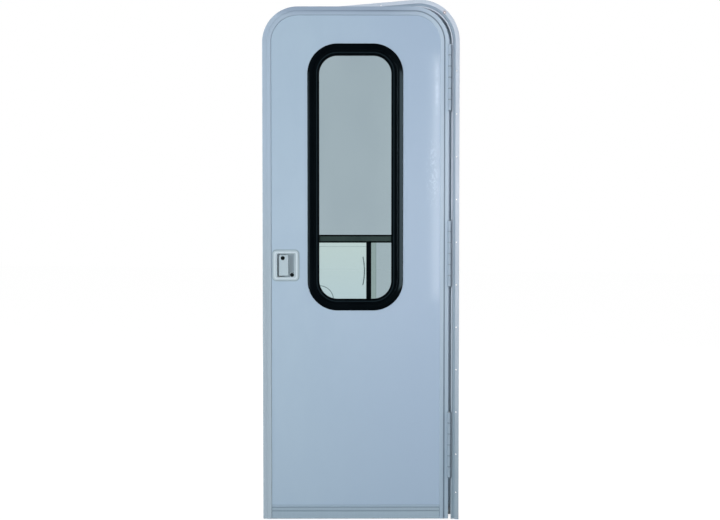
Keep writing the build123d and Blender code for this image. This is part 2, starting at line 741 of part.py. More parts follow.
save(window_ring, "window_ring")

# Garnish: the inner clamp ring, flat on the inner skin
with BuildPart() as window_garnish:
    with BuildSketch(door_face(inner_face)):
        with Locations((WINDOW_U, window_v)):
            RectangleRounded(RING_WIDTH, RING_HEIGHT, RING_CORNER_RADIUS)
            RectangleRounded(
                RING_WIDTH - 2 * GARNISH_BAND,
                RING_HEIGHT - 2 * GARNISH_BAND,
                RING_CORNER_RADIUS - GARNISH_BAND,
                mode=Mode.SUBTRACT,
            )
    extrude(amount=-GARNISH_PROUD)
    garnish_edges = window_garnish.faces().sort_by(door_inward)[-1].edges()
    fillet(garnish_edges, radius=GARNISH_ROUND)
save(window_garnish, "window_garnish")


def pane(depth, foot, top, left, right):
    """Pane of the window's own outline, trimmed to the given edges."""
    with BuildPart(mode=Mode.PRIVATE) as glass:
        with BuildSketch(door_face(depth)):
            with Locations((WINDOW_U, window_v)):
                RectangleRounded(glass_width, glass_height, glass_radius)
            with Locations(((left + right) / 2, (foot + top) / 2)):
                Rectangle(right - left, top - foot, mode=Mode.INTERSECT)
        extrude(amount=-GLASS_THICKNESS)
    return glass


glass_left = WINDOW_U - glass_width / 2
glass_right = WINDOW_U + glass_width / 2
glass_foot = window_v - glass_height / 2
glass_top = window_v + glass_height / 2
rail_left = RAIL_U - RAIL_WIDTH / 2
rail_right = RAIL_U + RAIL_WIDTH / 2
slot_end = GLASS_SLOT_DEPTH - GLASS_SLOT_CLEARANCE
lower_top = transom_foot + slot_end

upper_glass = pane(GLASS_SEAT_DEPTH, transom_top - slot_end, glass_top, glass_left, glass_right)
save(upper_glass, "upper_glass")
fixed_lower_glass = pane(
    GLASS_SEAT_DEPTH, glass_foot, lower_top, rail_right - slot_end, glass_right
)
save(fixed_lower_glass, "fixed_lower_glass")
slider_glass = pane(slider_front, glass_foot, lower_top, glass_left, RAIL_U)
save(slider_glass, "slider_glass")

# Transom bar: grooved along its top and foot for the panes
slot_width = GLASS_THICKNESS + 2 * GLASS_SLOT_CLEARANCE
front_slot = GLASS_SEAT_DEPTH - GLASS_SLOT_CLEARANCE
slider_slot = slider_front - GLASS_SLOT_CLEARANCE
with BuildPart() as transom_bar:
    with BuildSketch(Plane(door * Pos(WINDOW_U, 0, 0) * Rot(0, 90, 0) * Rot(0, 0, 90))):
        with Locations((TRANSOM_FRONT, transom_foot)):
            Rectangle(TRANSOM_DEPTH, TRANSOM_HEIGHT, align=(Align.MIN, Align.MIN))
        with Locations((front_slot, transom_top)):
            Rectangle(
                slot_width, GLASS_SLOT_DEPTH, align=(Align.MIN, Align.MAX), mode=Mode.SUBTRACT
            )
        with Locations((front_slot, transom_foot), (slider_slot, transom_foot)):
            Rectangle(
                slot_width, GLASS_SLOT_DEPTH, align=(Align.MIN, Align.MIN), mode=Mode.SUBTRACT
            )
    extrude(amount=sight_width / 2, both=True)
save(transom_bar, "transom_bar")

# Sash rail: upright beside the fixed lower pane, which its groove holds, in front of the slider
with BuildPart() as sash_rail:
    with BuildSketch(door_level(sight_foot)):
        with Locations((RAIL_U, RAIL_FRONT)):
            Rectangle(
                RAIL_WIDTH,
                slider_front - SLIDER_CLEARANCE - RAIL_FRONT,
                align=(Align.CENTER, Align.MIN),
            )
        with Locations((rail_right, front_slot)):
            Rectangle(
                GLASS_SLOT_DEPTH, slot_width, align=(Align.MAX, Align.MIN), mode=Mode.SUBTRACT
            )
    extrude(amount=transom_foot - sight_foot)
save(sash_rail, "sash_rail")

# Slider pull: a bowed strip on the back of the sliding pane
pull_u = rail_left - PULL_FROM_RAIL
pull_v = sight_foot + PULL_FROM_SIGHT_FOOT
with BuildPart() as slider_pull:
    with BuildSketch(door_face(slider_front + GLASS_THICKNESS)):
        with BuildLine() as pull_line:
            ThreePointArc(
                (pull_u - PULL_BOW, pull_v - PULL_LENGTH / 2),
                (pull_u, pull_v),
                (pull_u - PULL_BOW, pull_v + PULL_LENGTH / 2),
            )
        trace(line_width=PULL_WIDTH)
    extrude(amount=-PULL_WIDTH)
save(slider_pull, "slider_pull")

# Lock bezel: a rimmed plate with a pan sunk into the door and a boss for the dead bolt's key
with BuildPart() as lock_bezel:
    with BuildSketch(door_face(panel_face)):
        with Locations((LOCK_U, lock_v)):
            RectangleRounded(BEZEL_WIDTH, BEZEL_HEIGHT, BEZEL_RADIUS)
    extrude(amount=BEZEL_THICKNESS)
    bezel_edges = lock_bezel.faces().sort_by(door_inward)[0].edges()
    fillet(bezel_edges, radius=BEZEL_ROUND)
    with BuildSketch(door_face(panel_face)):
        with Locations((LOCK_U, lock_v)):
            RectangleRounded(
                RECESS_WIDTH + 2 * RIM_WIDTH,
                RECESS_HEIGHT + 2 * RIM_WIDTH,
                RECESS_RADIUS + RIM_WIDTH,
            )
    extrude(amount=BEZEL_THICKNESS + RIM_HEIGHT)
    rim_edges = lock_bezel.faces().sort_by(door_inward)[0].edges()
    fillet(rim_edges, radius=RIM_ROUND)
    with BuildSketch(door_face(panel_face)):
        with Locations((LOCK_U, lock_v)):
            RectangleRounded(pan_width, pan_height, RECESS_RADIUS + PAN_WALL)
    extrude(amount=-(pan_floor + PAN_WALL - panel_face))
    with BuildSketch(door_face(bezel_face)):
        with Locations((LOCK_U, lock_v)):
            RectangleRounded(RECESS_WIDTH, RECESS_HEIGHT, RECESS_RADIUS)
    extrude(amount=-RECESS_DEPTH, mode=Mode.SUBTRACT)
    with BuildSketch(door_face(bezel_face)):
        with Locations((deadbolt_u, deadbolt_v)):
            Circle(DEADBOLT_PLUG_RADIUS + KEY_BOSS_WALL)
    extrude(amount=-RECESS_DEPTH)
    with BuildSketch(door_face(bezel_face)):
        with Locations((deadbolt_u, deadbolt_v)):
            Circle(DEADBOLT_PLUG_RADIUS + RUNNING_CLEARANCE)
    extrude(amount=-DEADBOLT_PLUG_LENGTH - RUNNING_CLEARANCE, mode=Mode.SUBTRACT)
    with BuildSketch(door_level(recess_foot - PAN_WALL)):
        with Locations((paddle_axis_u, paddle_axis_d)):
            Circle(PADDLE_PIN_RADIUS + RUNNING_CLEARANCE)
    extrude(amount=pan_height, mode=Mode.SUBTRACT)
save(lock_bezel, "lock_bezel")

# Paddle pin: upright through the pan, behind the paddle's latch-side edge
with BuildPart() as paddle_pin:
    with BuildSketch(door_level(recess_foot - PAN_WALL)):
        with Locations((paddle_axis_u, paddle_axis_d)):
            Circle(PADDLE_PIN_RADIUS)
    extrude(amount=pan_height)
save(paddle_pin, "paddle_pin")

# Paddle: a plate with a finger lip, a hinge barrel and a boss for its key plug
paddle_right = paddle_left + PADDLE_WIDTH
with BuildPart() as paddle:
    with BuildSketch(door_level(paddle_foot)):
        with Locations((paddle_left, paddle_face)):
            Rectangle(PADDLE_WIDTH, PADDLE_PLATE, align=(Align.MIN, Align.MIN))
        with Locations((paddle_right, paddle_face)):
            Rectangle(PADDLE_PLATE, PADDLE_LIP_DEPTH, align=(Align.MAX, Align.MIN))
        with Locations((paddle_axis_u, paddle_axis_d)):
            Circle(PADDLE_BARREL_RADIUS)
            Rectangle(
                2 * PADDLE_BARREL_RADIUS, PADDLE_AXIS_DEPTH, align=(Align.CENTER, Align.MAX)
            )
    extrude(amount=paddle_height)
    with BuildSketch(door_face(paddle_face)):
        with Locations((paddle_key_u, paddle_key_v)):
            Circle(KEY_PLUG_RADIUS + KEY_BOSS_WALL)
    extrude(amount=-KEY_PLUG_LENGTH - KEY_BOSS_WALL)
    with BuildSketch(door_face(paddle_face)):
        with Locations((paddle_key_u, paddle_key_v)):
            Circle(KEY_PLUG_RADIUS + RUNNING_CLEARANCE)
    extrude(amount=-KEY_PLUG_LENGTH - RUNNING_CLEARANCE, mode=Mode.SUBTRACT)
    with BuildSketch(door_level(paddle_foot)):
        with Locations((paddle_axis_u, paddle_axis_d)):
            Circle(PADDLE_PIN_RADIUS + RUNNING_CLEARANCE)
    extrude(amount=paddle_height, mode=Mode.SUBTRACT)
save(paddle, "paddle")


def key_plug(u, v, front, radius, length):
    """Round key plug with an upright keyway sunk in its face."""
    with BuildPart(mode=Mode.PRIVATE) as plug:
        with BuildSketch(door_face(front)):
            with Locations((u, v)):
                Circle(radius)
        extrude(amount=-length)
        with BuildSketch(door_face(front)):
            with Locations((u, v)):
                Rectangle(KEYWAY_WIDTH, KEYWAY_HEIGHT)
        extrude(amount=-KEYWAY_DEPTH, mode=Mode.SUBTRACT)
    return plug


paddle_key_plug = key_plug(
    paddle_key_u, paddle_key_v, paddle_face, KEY_PLUG_RADIUS, KEY_PLUG_LENGTH
)
save(paddle_key_plug, "paddle_key_plug")
deadbolt_key_plug = key_plug(
    deadbolt_u, deadbolt_v, bezel_face, DEADBOLT_PLUG_RADIUS, DEADBOLT_PLUG_LENGTH
)
save(deadbolt_key_plug, "deadbolt_key_plug")

# Latch faceplate: flush in the latch-side trim, with a hole for each bolt
edge_plane = Plane(door * Pos(0, bolt_d, lock_v) * Rot(0, 90, 0) * Rot(0, 0, 90))
with BuildPart() as latch_faceplate:
    with BuildSketch(edge_plane):
        Rectangle(FACEPLATE_WIDTH - 2 * FIT_CLEARANCE, FACEPLATE_HEIGHT - 2 * FIT_CLEARANCE)
        with Locations((0, -BOLT_SPREAD), (0, BOLT_SPREAD)):
            Rectangle(
                BOLT_WIDTH + 2 * BOLT_CLEARANCE,
                BOLT_HEIGHT + 2 * BOLT_CLEARANCE,
                mode=Mode.SUBTRACT,
            )
    extrude(amount=TRIM_WALL)
save(latch_faceplate, "latch_faceplate")

# Bolts: latch and dead bolt, drawn back flush with the faceplate
with BuildPart() as lock_bolts:
    with BuildSketch(edge_plane):
        with Locations((0, -BOLT_SPREAD), (0, BOLT_SPREAD)):
            Rectangle(BOLT_WIDTH, BOLT_HEIGHT)
    extrude(amount=BOLT_LENGTH)
save(lock_bolts, "lock_bolts")

# Inner lock plate, with the release lever and the dead bolt's thumb turn on it
inner_plate_face = inner_face + INNER_PLATE
with BuildPart() as inner_lock_plate:
    with BuildSketch(door_face(inner_face)):
        with Locations((LOCK_U, lock_v)):
            RectangleRounded(BEZEL_WIDTH, BEZEL_HEIGHT, BEZEL_RADIUS)
    extrude(amount=-INNER_PLATE)
    plate_edges = inner_lock_plate.faces().sort_by(door_inward)[-1].edges()
    fillet(plate_edges, radius=INNER_PLATE_ROUND)
save(inner_lock_plate, "inner_lock_plate")

lever_u = LOCK_U - BEZEL_WIDTH / 4
lever_v = lock_v + BOLT_SPREAD
with BuildPart() as inner_lever:
    with BuildSketch(door_face(inner_plate_face)):
        with Locations((lever_u, lever_v)):
            Circle(LEVER_WIDTH / 2)
    extrude(amount=-LEVER_STANDOFF)
    with BuildSketch(door_face(inner_plate_face + LEVER_STANDOFF)):
        with Locations((lever_u + LEVER_LENGTH / 2, lever_v)):
            SlotCenterToCenter(LEVER_LENGTH, LEVER_WIDTH)
    extrude(amount=-LEVER_THICKNESS)
save(inner_lever, "inner_lever")

thumb_v = lock_v - BOLT_SPREAD
with BuildPart() as inner_thumb_turn:
    with BuildSketch(door_face(inner_plate_face)):
        with Locations((LOCK_U, thumb_v)):
            Circle(THUMB_RADIUS)
    extrude(amount=-THUMB_HEIGHT)
    with BuildSketch(door_face(inner_plate_face + THUMB_HEIGHT)):
        with Locations((LOCK_U, thumb_v)):
            SlotOverall(2 * (THUMB_RADIUS - THUMB_MARGIN), THUMB_BLADE_WIDTH, rotation=90)
    extrude(amount=-THUMB_BLADE)
save(inner_thumb_turn, "inner_thumb_turn")
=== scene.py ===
"""Looks of a caravan entry door that stands ajar in its flanged wall frame.

Everything is in metres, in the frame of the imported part. Door places are given as
(u from the latch edge, d inwards from the trim's face, v up from the foot).
"""

import json
import math

import bmesh
import bpy
from mathutils import Matrix, Vector


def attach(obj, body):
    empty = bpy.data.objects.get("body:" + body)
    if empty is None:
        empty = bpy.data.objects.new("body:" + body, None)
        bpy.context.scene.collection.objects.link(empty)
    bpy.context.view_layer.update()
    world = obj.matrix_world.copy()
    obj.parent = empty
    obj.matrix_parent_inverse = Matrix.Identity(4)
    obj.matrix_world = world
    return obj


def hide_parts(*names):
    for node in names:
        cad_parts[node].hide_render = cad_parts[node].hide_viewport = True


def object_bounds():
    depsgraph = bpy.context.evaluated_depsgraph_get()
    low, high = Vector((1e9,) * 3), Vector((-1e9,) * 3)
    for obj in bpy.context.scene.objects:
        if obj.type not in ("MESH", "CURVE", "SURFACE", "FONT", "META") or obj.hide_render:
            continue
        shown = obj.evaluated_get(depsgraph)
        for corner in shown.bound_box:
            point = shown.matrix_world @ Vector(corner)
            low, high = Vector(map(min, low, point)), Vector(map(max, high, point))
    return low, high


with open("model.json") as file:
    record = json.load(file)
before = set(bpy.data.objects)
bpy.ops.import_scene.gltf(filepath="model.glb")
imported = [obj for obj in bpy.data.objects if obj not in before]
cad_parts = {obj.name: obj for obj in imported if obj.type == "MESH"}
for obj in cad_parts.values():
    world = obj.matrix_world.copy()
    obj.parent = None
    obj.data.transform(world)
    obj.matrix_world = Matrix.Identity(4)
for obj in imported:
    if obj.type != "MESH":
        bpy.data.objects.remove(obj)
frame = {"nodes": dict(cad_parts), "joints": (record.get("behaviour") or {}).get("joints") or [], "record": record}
cad_low, cad_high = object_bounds()

# The camera's lens and its place, square to the door leaf but for a slight pitch and yaw
SENSOR_WIDTH = 36.0
LENS = 43.34
CAMERA_DISTANCE = 3.102
CAMERA_FROM_LATCH = 0.3361
CAMERA_ABOVE_FOOT = 1.0093
CAMERA_PITCH = math.radians(1.40)
CAMERA_YAW = math.radians(-0.23)

# The door leaf, its trim and its place on its hinges
DOOR_WIDTH = 0.6665
DOOR_HEIGHT = 1.836
DOOR_CORNER_RADIUS = 0.127
TRIM_STEP_INSET = 0.016
RAIL_GROOVES_V = (0.029, 0.042)
INNER_FACE = 0.036
HINGE_FROM_LATCH = 0.668
HINGE_PROUD = 0.0065

# The wall frame: its walls in the part's own x, its flange's cove out from its opening
HINGE_WALL = -0.018
LATCH_WALL = -0.6975
FRAME_GAP = 0.0065
FRAME_CORNER_RADIUS = 0.133
FLANGE_SCREW_LINE = 0.018
FLANGE_COVE = (0.004, 0.014)

# The hinges, with their middles' heights above the foot
HINGE_CENTRES = {"bottom": 0.270, "middle": 0.957, "top": 1.583}
KNUCKLE_PITCH = 0.236 / 6
BARREL_RADIUS = 0.006
HINGE_LEAF = 0.0015

# The window: its moulded ring, the ring's glazing bead, its panes and the inner garnish ring
WINDOW_U = 0.3317
WINDOW_V = 1.2285
RING_WIDTH = 0.3418
RING_HEIGHT = 0.9524
RING_CORNER_RADIUS = 0.107
BEAD_START = 0.0225
BEAD_FADE = 0.001
BEAD_EDGE = 0.0335
SIGHT_LEFT = 0.2028
SIGHT_RIGHT = 0.4606
TRANSOM_FOOT = 0.9959
TRANSOM_TOP = 1.0233
TRANSOM_FRONT = 0.007
GARNISH_PROUD = 0.008
GARNISH_BAND = 0.035

# The lock and its plates
LOCK_U = 0.0825
LOCK_V = 0.9143
BEZEL_WIDTH = 0.0935
BEZEL_HEIGHT = 0.1085
BEZEL_RADIUS = 0.014
INNER_PLATE = 0.003

# Screw heads as radius and height, their cross recess as shares of the radius
GARNISH_HEAD = (0.0035, 0.0016)
PLATE_HEAD = (0.003, 0.0012)
FLUSH_HEAD = (0.0034, 0.0006)
RECESS_LENGTH = 1.1
RECESS_WIDTH = 0.28
HEAD_SEGMENTS = 20
HEAD_RINGS = 12
HEAD_EDGE_ANGLE = math.radians(35)

# Where the screws sit on their pieces
GARNISH_SCREWS = 18
PLATE_SCREW_U = 0.037
PLATE_SCREW_V = 0.0445
HINGE_SCREWS = (-0.098, -0.059, -0.020, 0.020, 0.059, 0.098)
DOOR_LEAF_SCREW_D = 0.0145
FRAME_LEAF_SCREW_Y = 0.0065
FACEPLATE_SCREW_D = 0.019
STRIKE_SCREW_Y = 0.013
BOLT_SCREW_REACH = 0.052

# The rubber strips along the transom's upper and lower edge
GASKET_HEIGHT = 0.0056
GASKET_DEPTH = 0.003
GASKET_PROUD = 0.0004
GASKET_CROWN = 0.0006
GASKET_LAP = 0.0006
GASKET_STEPS = 8

# Pieces whose sharp edges are eased, with the width of the easing
EASED_EDGES = {
    "edge_trim_latch": 0.0005, "edge_trim_hinge": 0.0005, "bottom_rail": 0.0005,
    "window_ring": 0.0005, "transom_bar": 0.0006, "sash_rail": 0.0008,
    "hinge_jamb": 0.0006, "latch_jamb": 0.0006, "paddle": 0.0006,
}
EASED_ANGLE = math.radians(28)
EASED_SEGMENTS = 2
FLAT_ANGLE = math.radians(0.4)
MERGE_DISTANCE = 1e-6

# Tone changes, darkening, painted shade and highlights, and a rust stain: where each lies, how wide it is and how
# far it fades
PANEL_FOOT_V, PANEL_FOOT_SHARE = (0, 0.75), 0.5
PANEL_HINGE_SIDE_U = (0.15, 0.55)
# Painted highlight: the specks and the streak of a glossy reflection on the panel
SPECKS_U, SPECKS_WIDTH, SPECKS_V, SPECKS_FADE = 0.608, 0.026, (1.15, 1.34), 0.04
STREAK_U, STREAK_WIDTH, STREAK_V, STREAK_FADE = 0.6235, 0.010, (1.47, 1.63), 0.03
TRIM_STEP_WIDTH, TRIM_STEP_LATCH_SHARE = 0.0036, 0.1
TRIM_HINGE_SIDE_U = (0.45, DOOR_WIDTH)
TRIM_UPPER_V = (0.90, 1.30)
TRIM_HEAD_V, TRIM_HEAD_END_U = (1.80, 1.82), (0.56, 0.64)
FOOT_DARKENING_V = (0.15, 1.20)
TRIM_FOOT_SHARE, FRAME_FOOT_SHARE, HINGE_FOOT_SHARE = 0.6, 0.75, 0.5
RAIL_GROOVE_WIDTH = 0.0026
RAIL_TOP_V = (0.0425, 0.0435)
RUST_REACH, RUST_SHARE = (0.003, 0.008), 0.7
COVE_FADE = 0.0008
BEAD_EDGE_WIDTH = 0.0024
CREST_INSET, CREST_WIDTH = 0.008, 0.003
BEZEL_SHADOW_OUTSET, BEZEL_SHADOW_WIDTH, BEZEL_SHADOW_SHARE = 0.0008, 0.0036, 0.8
KNUCKLE_SHADE_WIDTH = 0.0026
KNUCKLE_SHADE_REACH = (BARREL_RADIUS + 0.001, BARREL_RADIUS + 0.002)
SLIDER_ARC_V, SLIDER_ARC_RADIUS, SLIDER_ARC_WIDTH = 0.7901, 0.050, 0.0024
SLIDER_EDGE_V, SLIDER_EDGE_WIDTH = 0.9817, 0.0018
SLIDER_HAZE_V, SLIDER_HAZE_SHARE = (0.80, 0.99), 0.5
FIXED_EDGE_U, FIXED_EDGE_WIDTH = 0.4062, 0.0016
FIXED_STRIP_END_U, FIXED_STRIP_SHARE = (FIXED_EDGE_U, 0.4070), 0.9

# The studio
FLOOR_REACH = 24.0
FLOOR_GLOW = 0.88
BACKDROP_FADE = 0.2

swing = next(joint for joint in frame["joints"] if joint["name"] == "door_swing")
ajar = math.radians(-swing["range_deg"][0])
hinge_x, hinge_y, _ = swing["pos_m"]
foot_level = cad_low[2]
across = Vector((math.cos(ajar), math.sin(ajar), 0))
inward = Vector((-math.sin(ajar), math.cos(ajar), 0))
upward = Vector((0, 0, 1))
latch_foot = (
    Vector((hinge_x, hinge_y, foot_level)) - HINGE_FROM_LATCH * across + HINGE_PROUD * inward
)
latch_edge = latch_foot.dot(across)


def door_point(u, d, v):
    """A point of the door leaf, in the part's frame."""
    return latch_foot + u * across + d * inward + v * upward


def across_up(u, v):
    """A place of the door's face as the turned patterns see it."""
    return (latch_edge + u, foot_level + v)


def paint(red, green, blue):
    """A colour as it is read off a screen, turned into linear light."""
    def linear(level):
        level = level / 255
        return level / 12.92 if level <= 0.04045 else ((level + 0.055) / 1.055) ** 2.4
    return (linear(red), linear(green), linear(blue), 1.0)


def grey(level):
    """A grey in linear light."""
    return (level, level, level, 1.0)


class Shading:
    """A node tree, with short calls for the nodes that the finishes and the studio share."""

    def __init__(self, tree):
        self.tree = tree

    def link(self, source, target):
        self.tree.links.new(source, target)

    def fill(self, socket, value):
        """A source linked to a socket, or a constant set on it."""
        if isinstance(value, bpy.types.NodeSocket):
            self.link(value, socket)
        else:
            socket.default_value = value

    def node(self, kind, **values):
        """A new node, with constants on its named inputs."""
        node = self.tree.nodes.new(kind)
        for name, value in values.items():
            node.inputs[name.replace("_", " ")].default_value = value
        return node

    def spread(self, factor, low, high, start=0.3, end=0.7):
        """A number from low to high as the factor goes from start to end."""
        node = self.node(
            "ShaderNodeMapRange", From_Min=start, From_Max=end, To_Min=low, To_Max=high)
        self.link(factor, node.inputs["Value"])
        return node.outputs["Result"]

    def sum_of(self, operation, first, second=0.0):
        """A sum of a source and a number, or of two sources."""
        node = self.node("ShaderNodeMath")
        node.operation = operation
        self.link(first, node.inputs[0])
        self.fill(node.inputs[1], second)
        return node.outputs[0]

    def product(self, first, second):
        """Two factors multiplied, so that a mark shows only where both do."""
        return self.sum_of("MULTIPLY", first, second)

    def vector(self, operation, first, second=(0, 0, 0), output="Vector"):
        """A vector sum of a source and a constant, or of two sources."""
        node = self.node("ShaderNodeVectorMath")
        node.operation = operation
        self.link(first, node.inputs[0])
        self.fill(node.inputs[1], second)
        return node.outputs[output]

    def either_shader(self, factor, first, second):
        """The first shader where the factor is nought, the second where it is one."""
        node = self.node("ShaderNodeMixShader")
        self.link(factor, node.inputs["Fac"])
        self.link(first.outputs[0], node.inputs[1])
        self.link(second.outputs[0], node.inputs[2])
        return node


class Finish(Shading):
    """A procedural material that reads the place on its piece, turned with the door or not."""

    def __init__(self, name, turned=True):
        self.material = bpy.data.materials.new(name)
        self.material.use_nodes = True
        super().__init__(self.material.node_tree)
        self.shader = self.tree.nodes["Principled BSDF"]
        place = self.node("ShaderNodeTexCoord")
        mapping = self.node("ShaderNodeMapping")
        mapping.inputs["Rotation"].default_value[2] = -ajar if turned else 0.0
        self.link(place.outputs["Object"], mapping.inputs["Vector"])
        self.place = mapping.outputs["Vector"]

    def set(self, **values):
        """Constants, straight on the shader's own sockets."""
        for name, value in values.items():
            self.shader.inputs[name.replace("_", " ")].default_value = value

    def colour(self, source):
        self.link(source, self.shader.inputs["Base Color"])

    def rough(self, source):
        self.link(source, self.shader.inputs["Roughness"])

    def bump(self, height, strength, distance, under=None):
        """A bumpy surface, laid over another one where that is given."""
        node = self.node("ShaderNodeBump", Strength=strength, Distance=distance)
        self.link(height, node.inputs["Height"])
        if under:
            self.link(under, node.inputs["Normal"])
        self.link(node.outputs["Normal"], self.shader.inputs["Normal"])
        return node.outputs["Normal"]

    def stretched(self, scale):
        """The place, scaled apart on each axis, for grain that runs one way."""
        node = self.node("ShaderNodeMapping", Scale=scale)
        self.link(self.place, node.inputs["Vector"])
        return node.outputs["Vector"]

    def noise(self, scale, detail=3.0, roughness=0.55, place=None):
        """A cloudy factor about one half, finer as the scale goes up."""
        node = self.node("ShaderNodeTexNoise", Scale=scale, Detail=detail, Roughness=roughness)
        self.link(place or self.place, node.inputs["Vector"])
        return node.outputs["Fac"]

    def tones(self, factor, stops):
        """Colours along a factor, as (position, colour) stops."""
        node = self.node("ShaderNodeValToRGB")
        ramp = node.color_ramp
        while len(ramp.elements) < len(stops):
            ramp.elements.new(0.5)
        for element, (position, colour) in zip(ramp.elements, stops):
            element.position = position
            element.color = colour
        self.link(factor, node.inputs["Fac"])
        return node.outputs["Color"]

    def two_tones(self, factor, deep, pale, start=0.35):
        """A deep and a pale tone, even on both sides of one half."""
        return self.tones(factor, [(start, deep), (1 - start, pale)])

    def mixed(self, factor, first, second):
        """A colour, turned by a factor towards a second one or a constant tone."""
        node = self.node("ShaderNodeMix")
        node.data_type = "RGBA"
        self.link(factor, node.inputs["Factor"])
        self.link(first, node.inputs["A"])
        self.fill(node.inputs["B"], second)
        return node.outputs["Result"]

    def marked(self, base, marks):
        """A colour with (factor, tone) marks laid over it in turn."""
        for factor, tone in marks:
            base = self.mixed(factor(self), base, tone)
        return base

    def along(self, axis):
        """The place along one axis: X across the door, Z up."""
        node = self.node("ShaderNodeSeparateXYZ")
        self.link(self.place, node.inputs[0])
        return node.outputs[axis]

    def sideways(self, ends, low=0.0, high=1.0):
        """A number from low to high between two places across the door."""
        return self.spread(self.along("X"), low, high, *(latch_edge + u for u in ends))

    def upwards(self, ends, low=0.0, high=1.0):
        """A number from low to high between two heights above the foot."""
        return self.spread(self.along("Z"), low, high, *(foot_level + v for v in ends))

    def band(self, distance, ends, fade):
        """One between two distances, with soft sides."""
        start, end = ends
        return self.product(
            self.spread(distance, 0.0, 1.0, start - fade, start + fade),
            self.spread(distance, 1.0, 0.0, end - fade, end + fade),
        )

    def level_band(self, ends, fade):
        """One between two heights above the foot, with soft sides."""
        return self.band(self.along("Z"), [foot_level + v for v in ends], fade)

    def line(self, distance, width):
        """One on a thin line where a distance is nought, fading to nought at its sides."""
        return self.spread(self.sum_of("ABSOLUTE", distance), 1.0, 0.0, 0.0, width)

    def upright_line(self, u, width):
        """A thin upright line at a place across the door."""
        return self.line(self.sum_of("SUBTRACT", self.along("X"), latch_edge + u), width)

    def level_line(self, v, width):
        """A thin level line at a height above the foot."""
        return self.line(self.sum_of("SUBTRACT", self.along("Z"), foot_level + v), width)

    def reach(self, point, kept):
        """How far a place lies from a point, along the kept axes."""
        return self.vector("DISTANCE", self.stretched(kept), point, "Value")

    def outward(self, outline):
        """How far a place lies outside a rounded rectangle, less than nought within its rim."""
        centre, half, radius = outline
        place = self.vector("SUBTRACT", self.stretched((1, 0, 1)), (centre[0], 0, centre[1]))
        either = self.vector("ABSOLUTE", place)
        outer = self.vector("SUBTRACT", either, (half[0] - radius, 0, half[1] - radius))
        reach = self.vector("LENGTH", self.vector("MAXIMUM", outer), output="Value")
        return self.sum_of("SUBTRACT", reach, radius)

    def rim_line(self, outline, inset, width):
        """A thin line that follows an outline, inset within it."""
        return self.line(self.sum_of("ADD", self.outward(outline), inset), width)


def gelcoat_panel(name, deep, middle, pale, foot, tints=(), marks=()):
    """Glossy moulded sheet: broad soft tones, darker towards the foot, a faint waviness."""
    finish = Finish(name)
    broad = finish.noise(1.6, detail=9.0, roughness=0.68, place=finish.stretched((1.4, 1.0, 0.7)))
    seen = finish.tones(broad, [(0.36, deep), (0.5, middle), (0.64, pale)])
    toward_foot = finish.upwards(PANEL_FOOT_V, PANEL_FOOT_SHARE, 0.0)
    darkened = finish.mixed(toward_foot, finish.marked(seen, tints), foot)
    finish.colour(finish.marked(darkened, marks))
    finish.rough(finish.spread(finish.noise(14.0), 0.30, 0.34))
    waves = finish.noise(24.0, detail=2.0, place=finish.stretched((1, 1, 0.6)))
    wavy = finish.bump(waves, strength=0.25, distance=0.001)
    finish.bump(finish.noise(900.0, detail=1.0), strength=0.02, distance=0.0003, under=wavy)
    finish.set(Coat_Weight=0.6, Coat_Roughness=0.07)
    return finish.material


def painted_metal(name, deep, pale, turned=True, marks=(), gloss=0.25):
    """Satin paint on extruded aluminium, drawn along its length, with marks of painted shade and highlights,
    darkening and stains.
    """
    finish = Finish(name, turned)
    drawn = finish.noise(30.0, detail=4.0, place=finish.stretched((6.0, 6.0, 0.15)))
    broad = finish.noise(2.2, detail=2.0)
    both = finish.mixed(
        finish.spread(broad, 0.25, 0.75),
        finish.two_tones(drawn, deep, pale, start=0.3),
        finish.two_tones(broad, deep, pale),
    )
    finish.colour(finish.marked(both, marks))
    finish.rough(finish.spread(drawn, 0.30, 0.42))
    finish.bump(finish.noise(1500.0, detail=2.0), strength=0.08, distance=0.0002)
    finish.set(Coat_Weight=gloss, Coat_Roughness=0.2)
    return finish.material


def bare_metal(name, deep, pale, roughness, turned=True, metallic=1.0):
    """Bare metal with fine draw marks, less metallic where it has dulled."""
    finish = Finish(name, turned)
    drawn = finish.noise(220.0, detail=4.0, place=finish.stretched((1.0, 1.0, 0.06)))
    finish.colour(finish.two_tones(drawn, deep, pale, start=0.3))
    finish.rough(finish.spread(drawn, *roughness))
    finish.bump(drawn, strength=0.08, distance=0.0002)
    finish.set(Metallic=metallic)
    return finish.material


def moulded_plastic(name, deep, pale, roughness=(0.35, 0.5), sheen=0.5):
    """Moulded plastic with a fine spark-eroded grain."""
    finish = Finish(name)
    finish.colour(finish.two_tones(finish.noise(9.0), deep, pale))
    finish.rough(finish.spread(finish.noise(60.0), *roughness))
    finish.bump(finish.noise(1400.0, detail=2.0), strength=0.12, distance=0.0002)
    finish.set(Specular_IOR_Level=sheen)
    return finish.material


def ring_plastic(name, deep, pale):
    """The window ring's gloss black plastic, matt where its glazing bead meets the panes."""
    finish = Finish(name)
    rim = finish.outward(ring_outline)
    bead = (-BEAD_START - BEAD_FADE, -BEAD_START)
    cloud = finish.two_tones(finish.noise(9.0), deep, pale)
    # A painted highlight runs along the glazing bead's edge.
    finish.colour(finish.marked(cloud, [(bead_edge_highlight, paint(30, 42, 48))]))
    finish.rough(finish.spread(rim, 0.5, 0.16, *bead))
    finish.link(finish.spread(rim, 0.05, 0.35, *bead), finish.shader.inputs["Specular IOR Level"])
    finish.bump(finish.noise(1400.0, detail=2.0), strength=0.01, distance=0.0002)
    finish.set(Specular_Tint=(0.6, 0.86, 1, 1))
    return finish.material


def rubber(name, deep, pale, sheen=0.2):
    """Extruded sponge rubber: matt, with fine pores."""
    finish = Finish(name, turned=False)
    pores = finish.noise(2200.0, detail=2.0)
    finish.colour(finish.two_tones(pores, deep, pale))
    finish.rough(finish.spread(pores, 0.65, 0.85))
    finish.bump(pores, strength=0.3, distance=0.0003)
    finish.set(Specular_IOR_Level=sheen)
    return finish.material


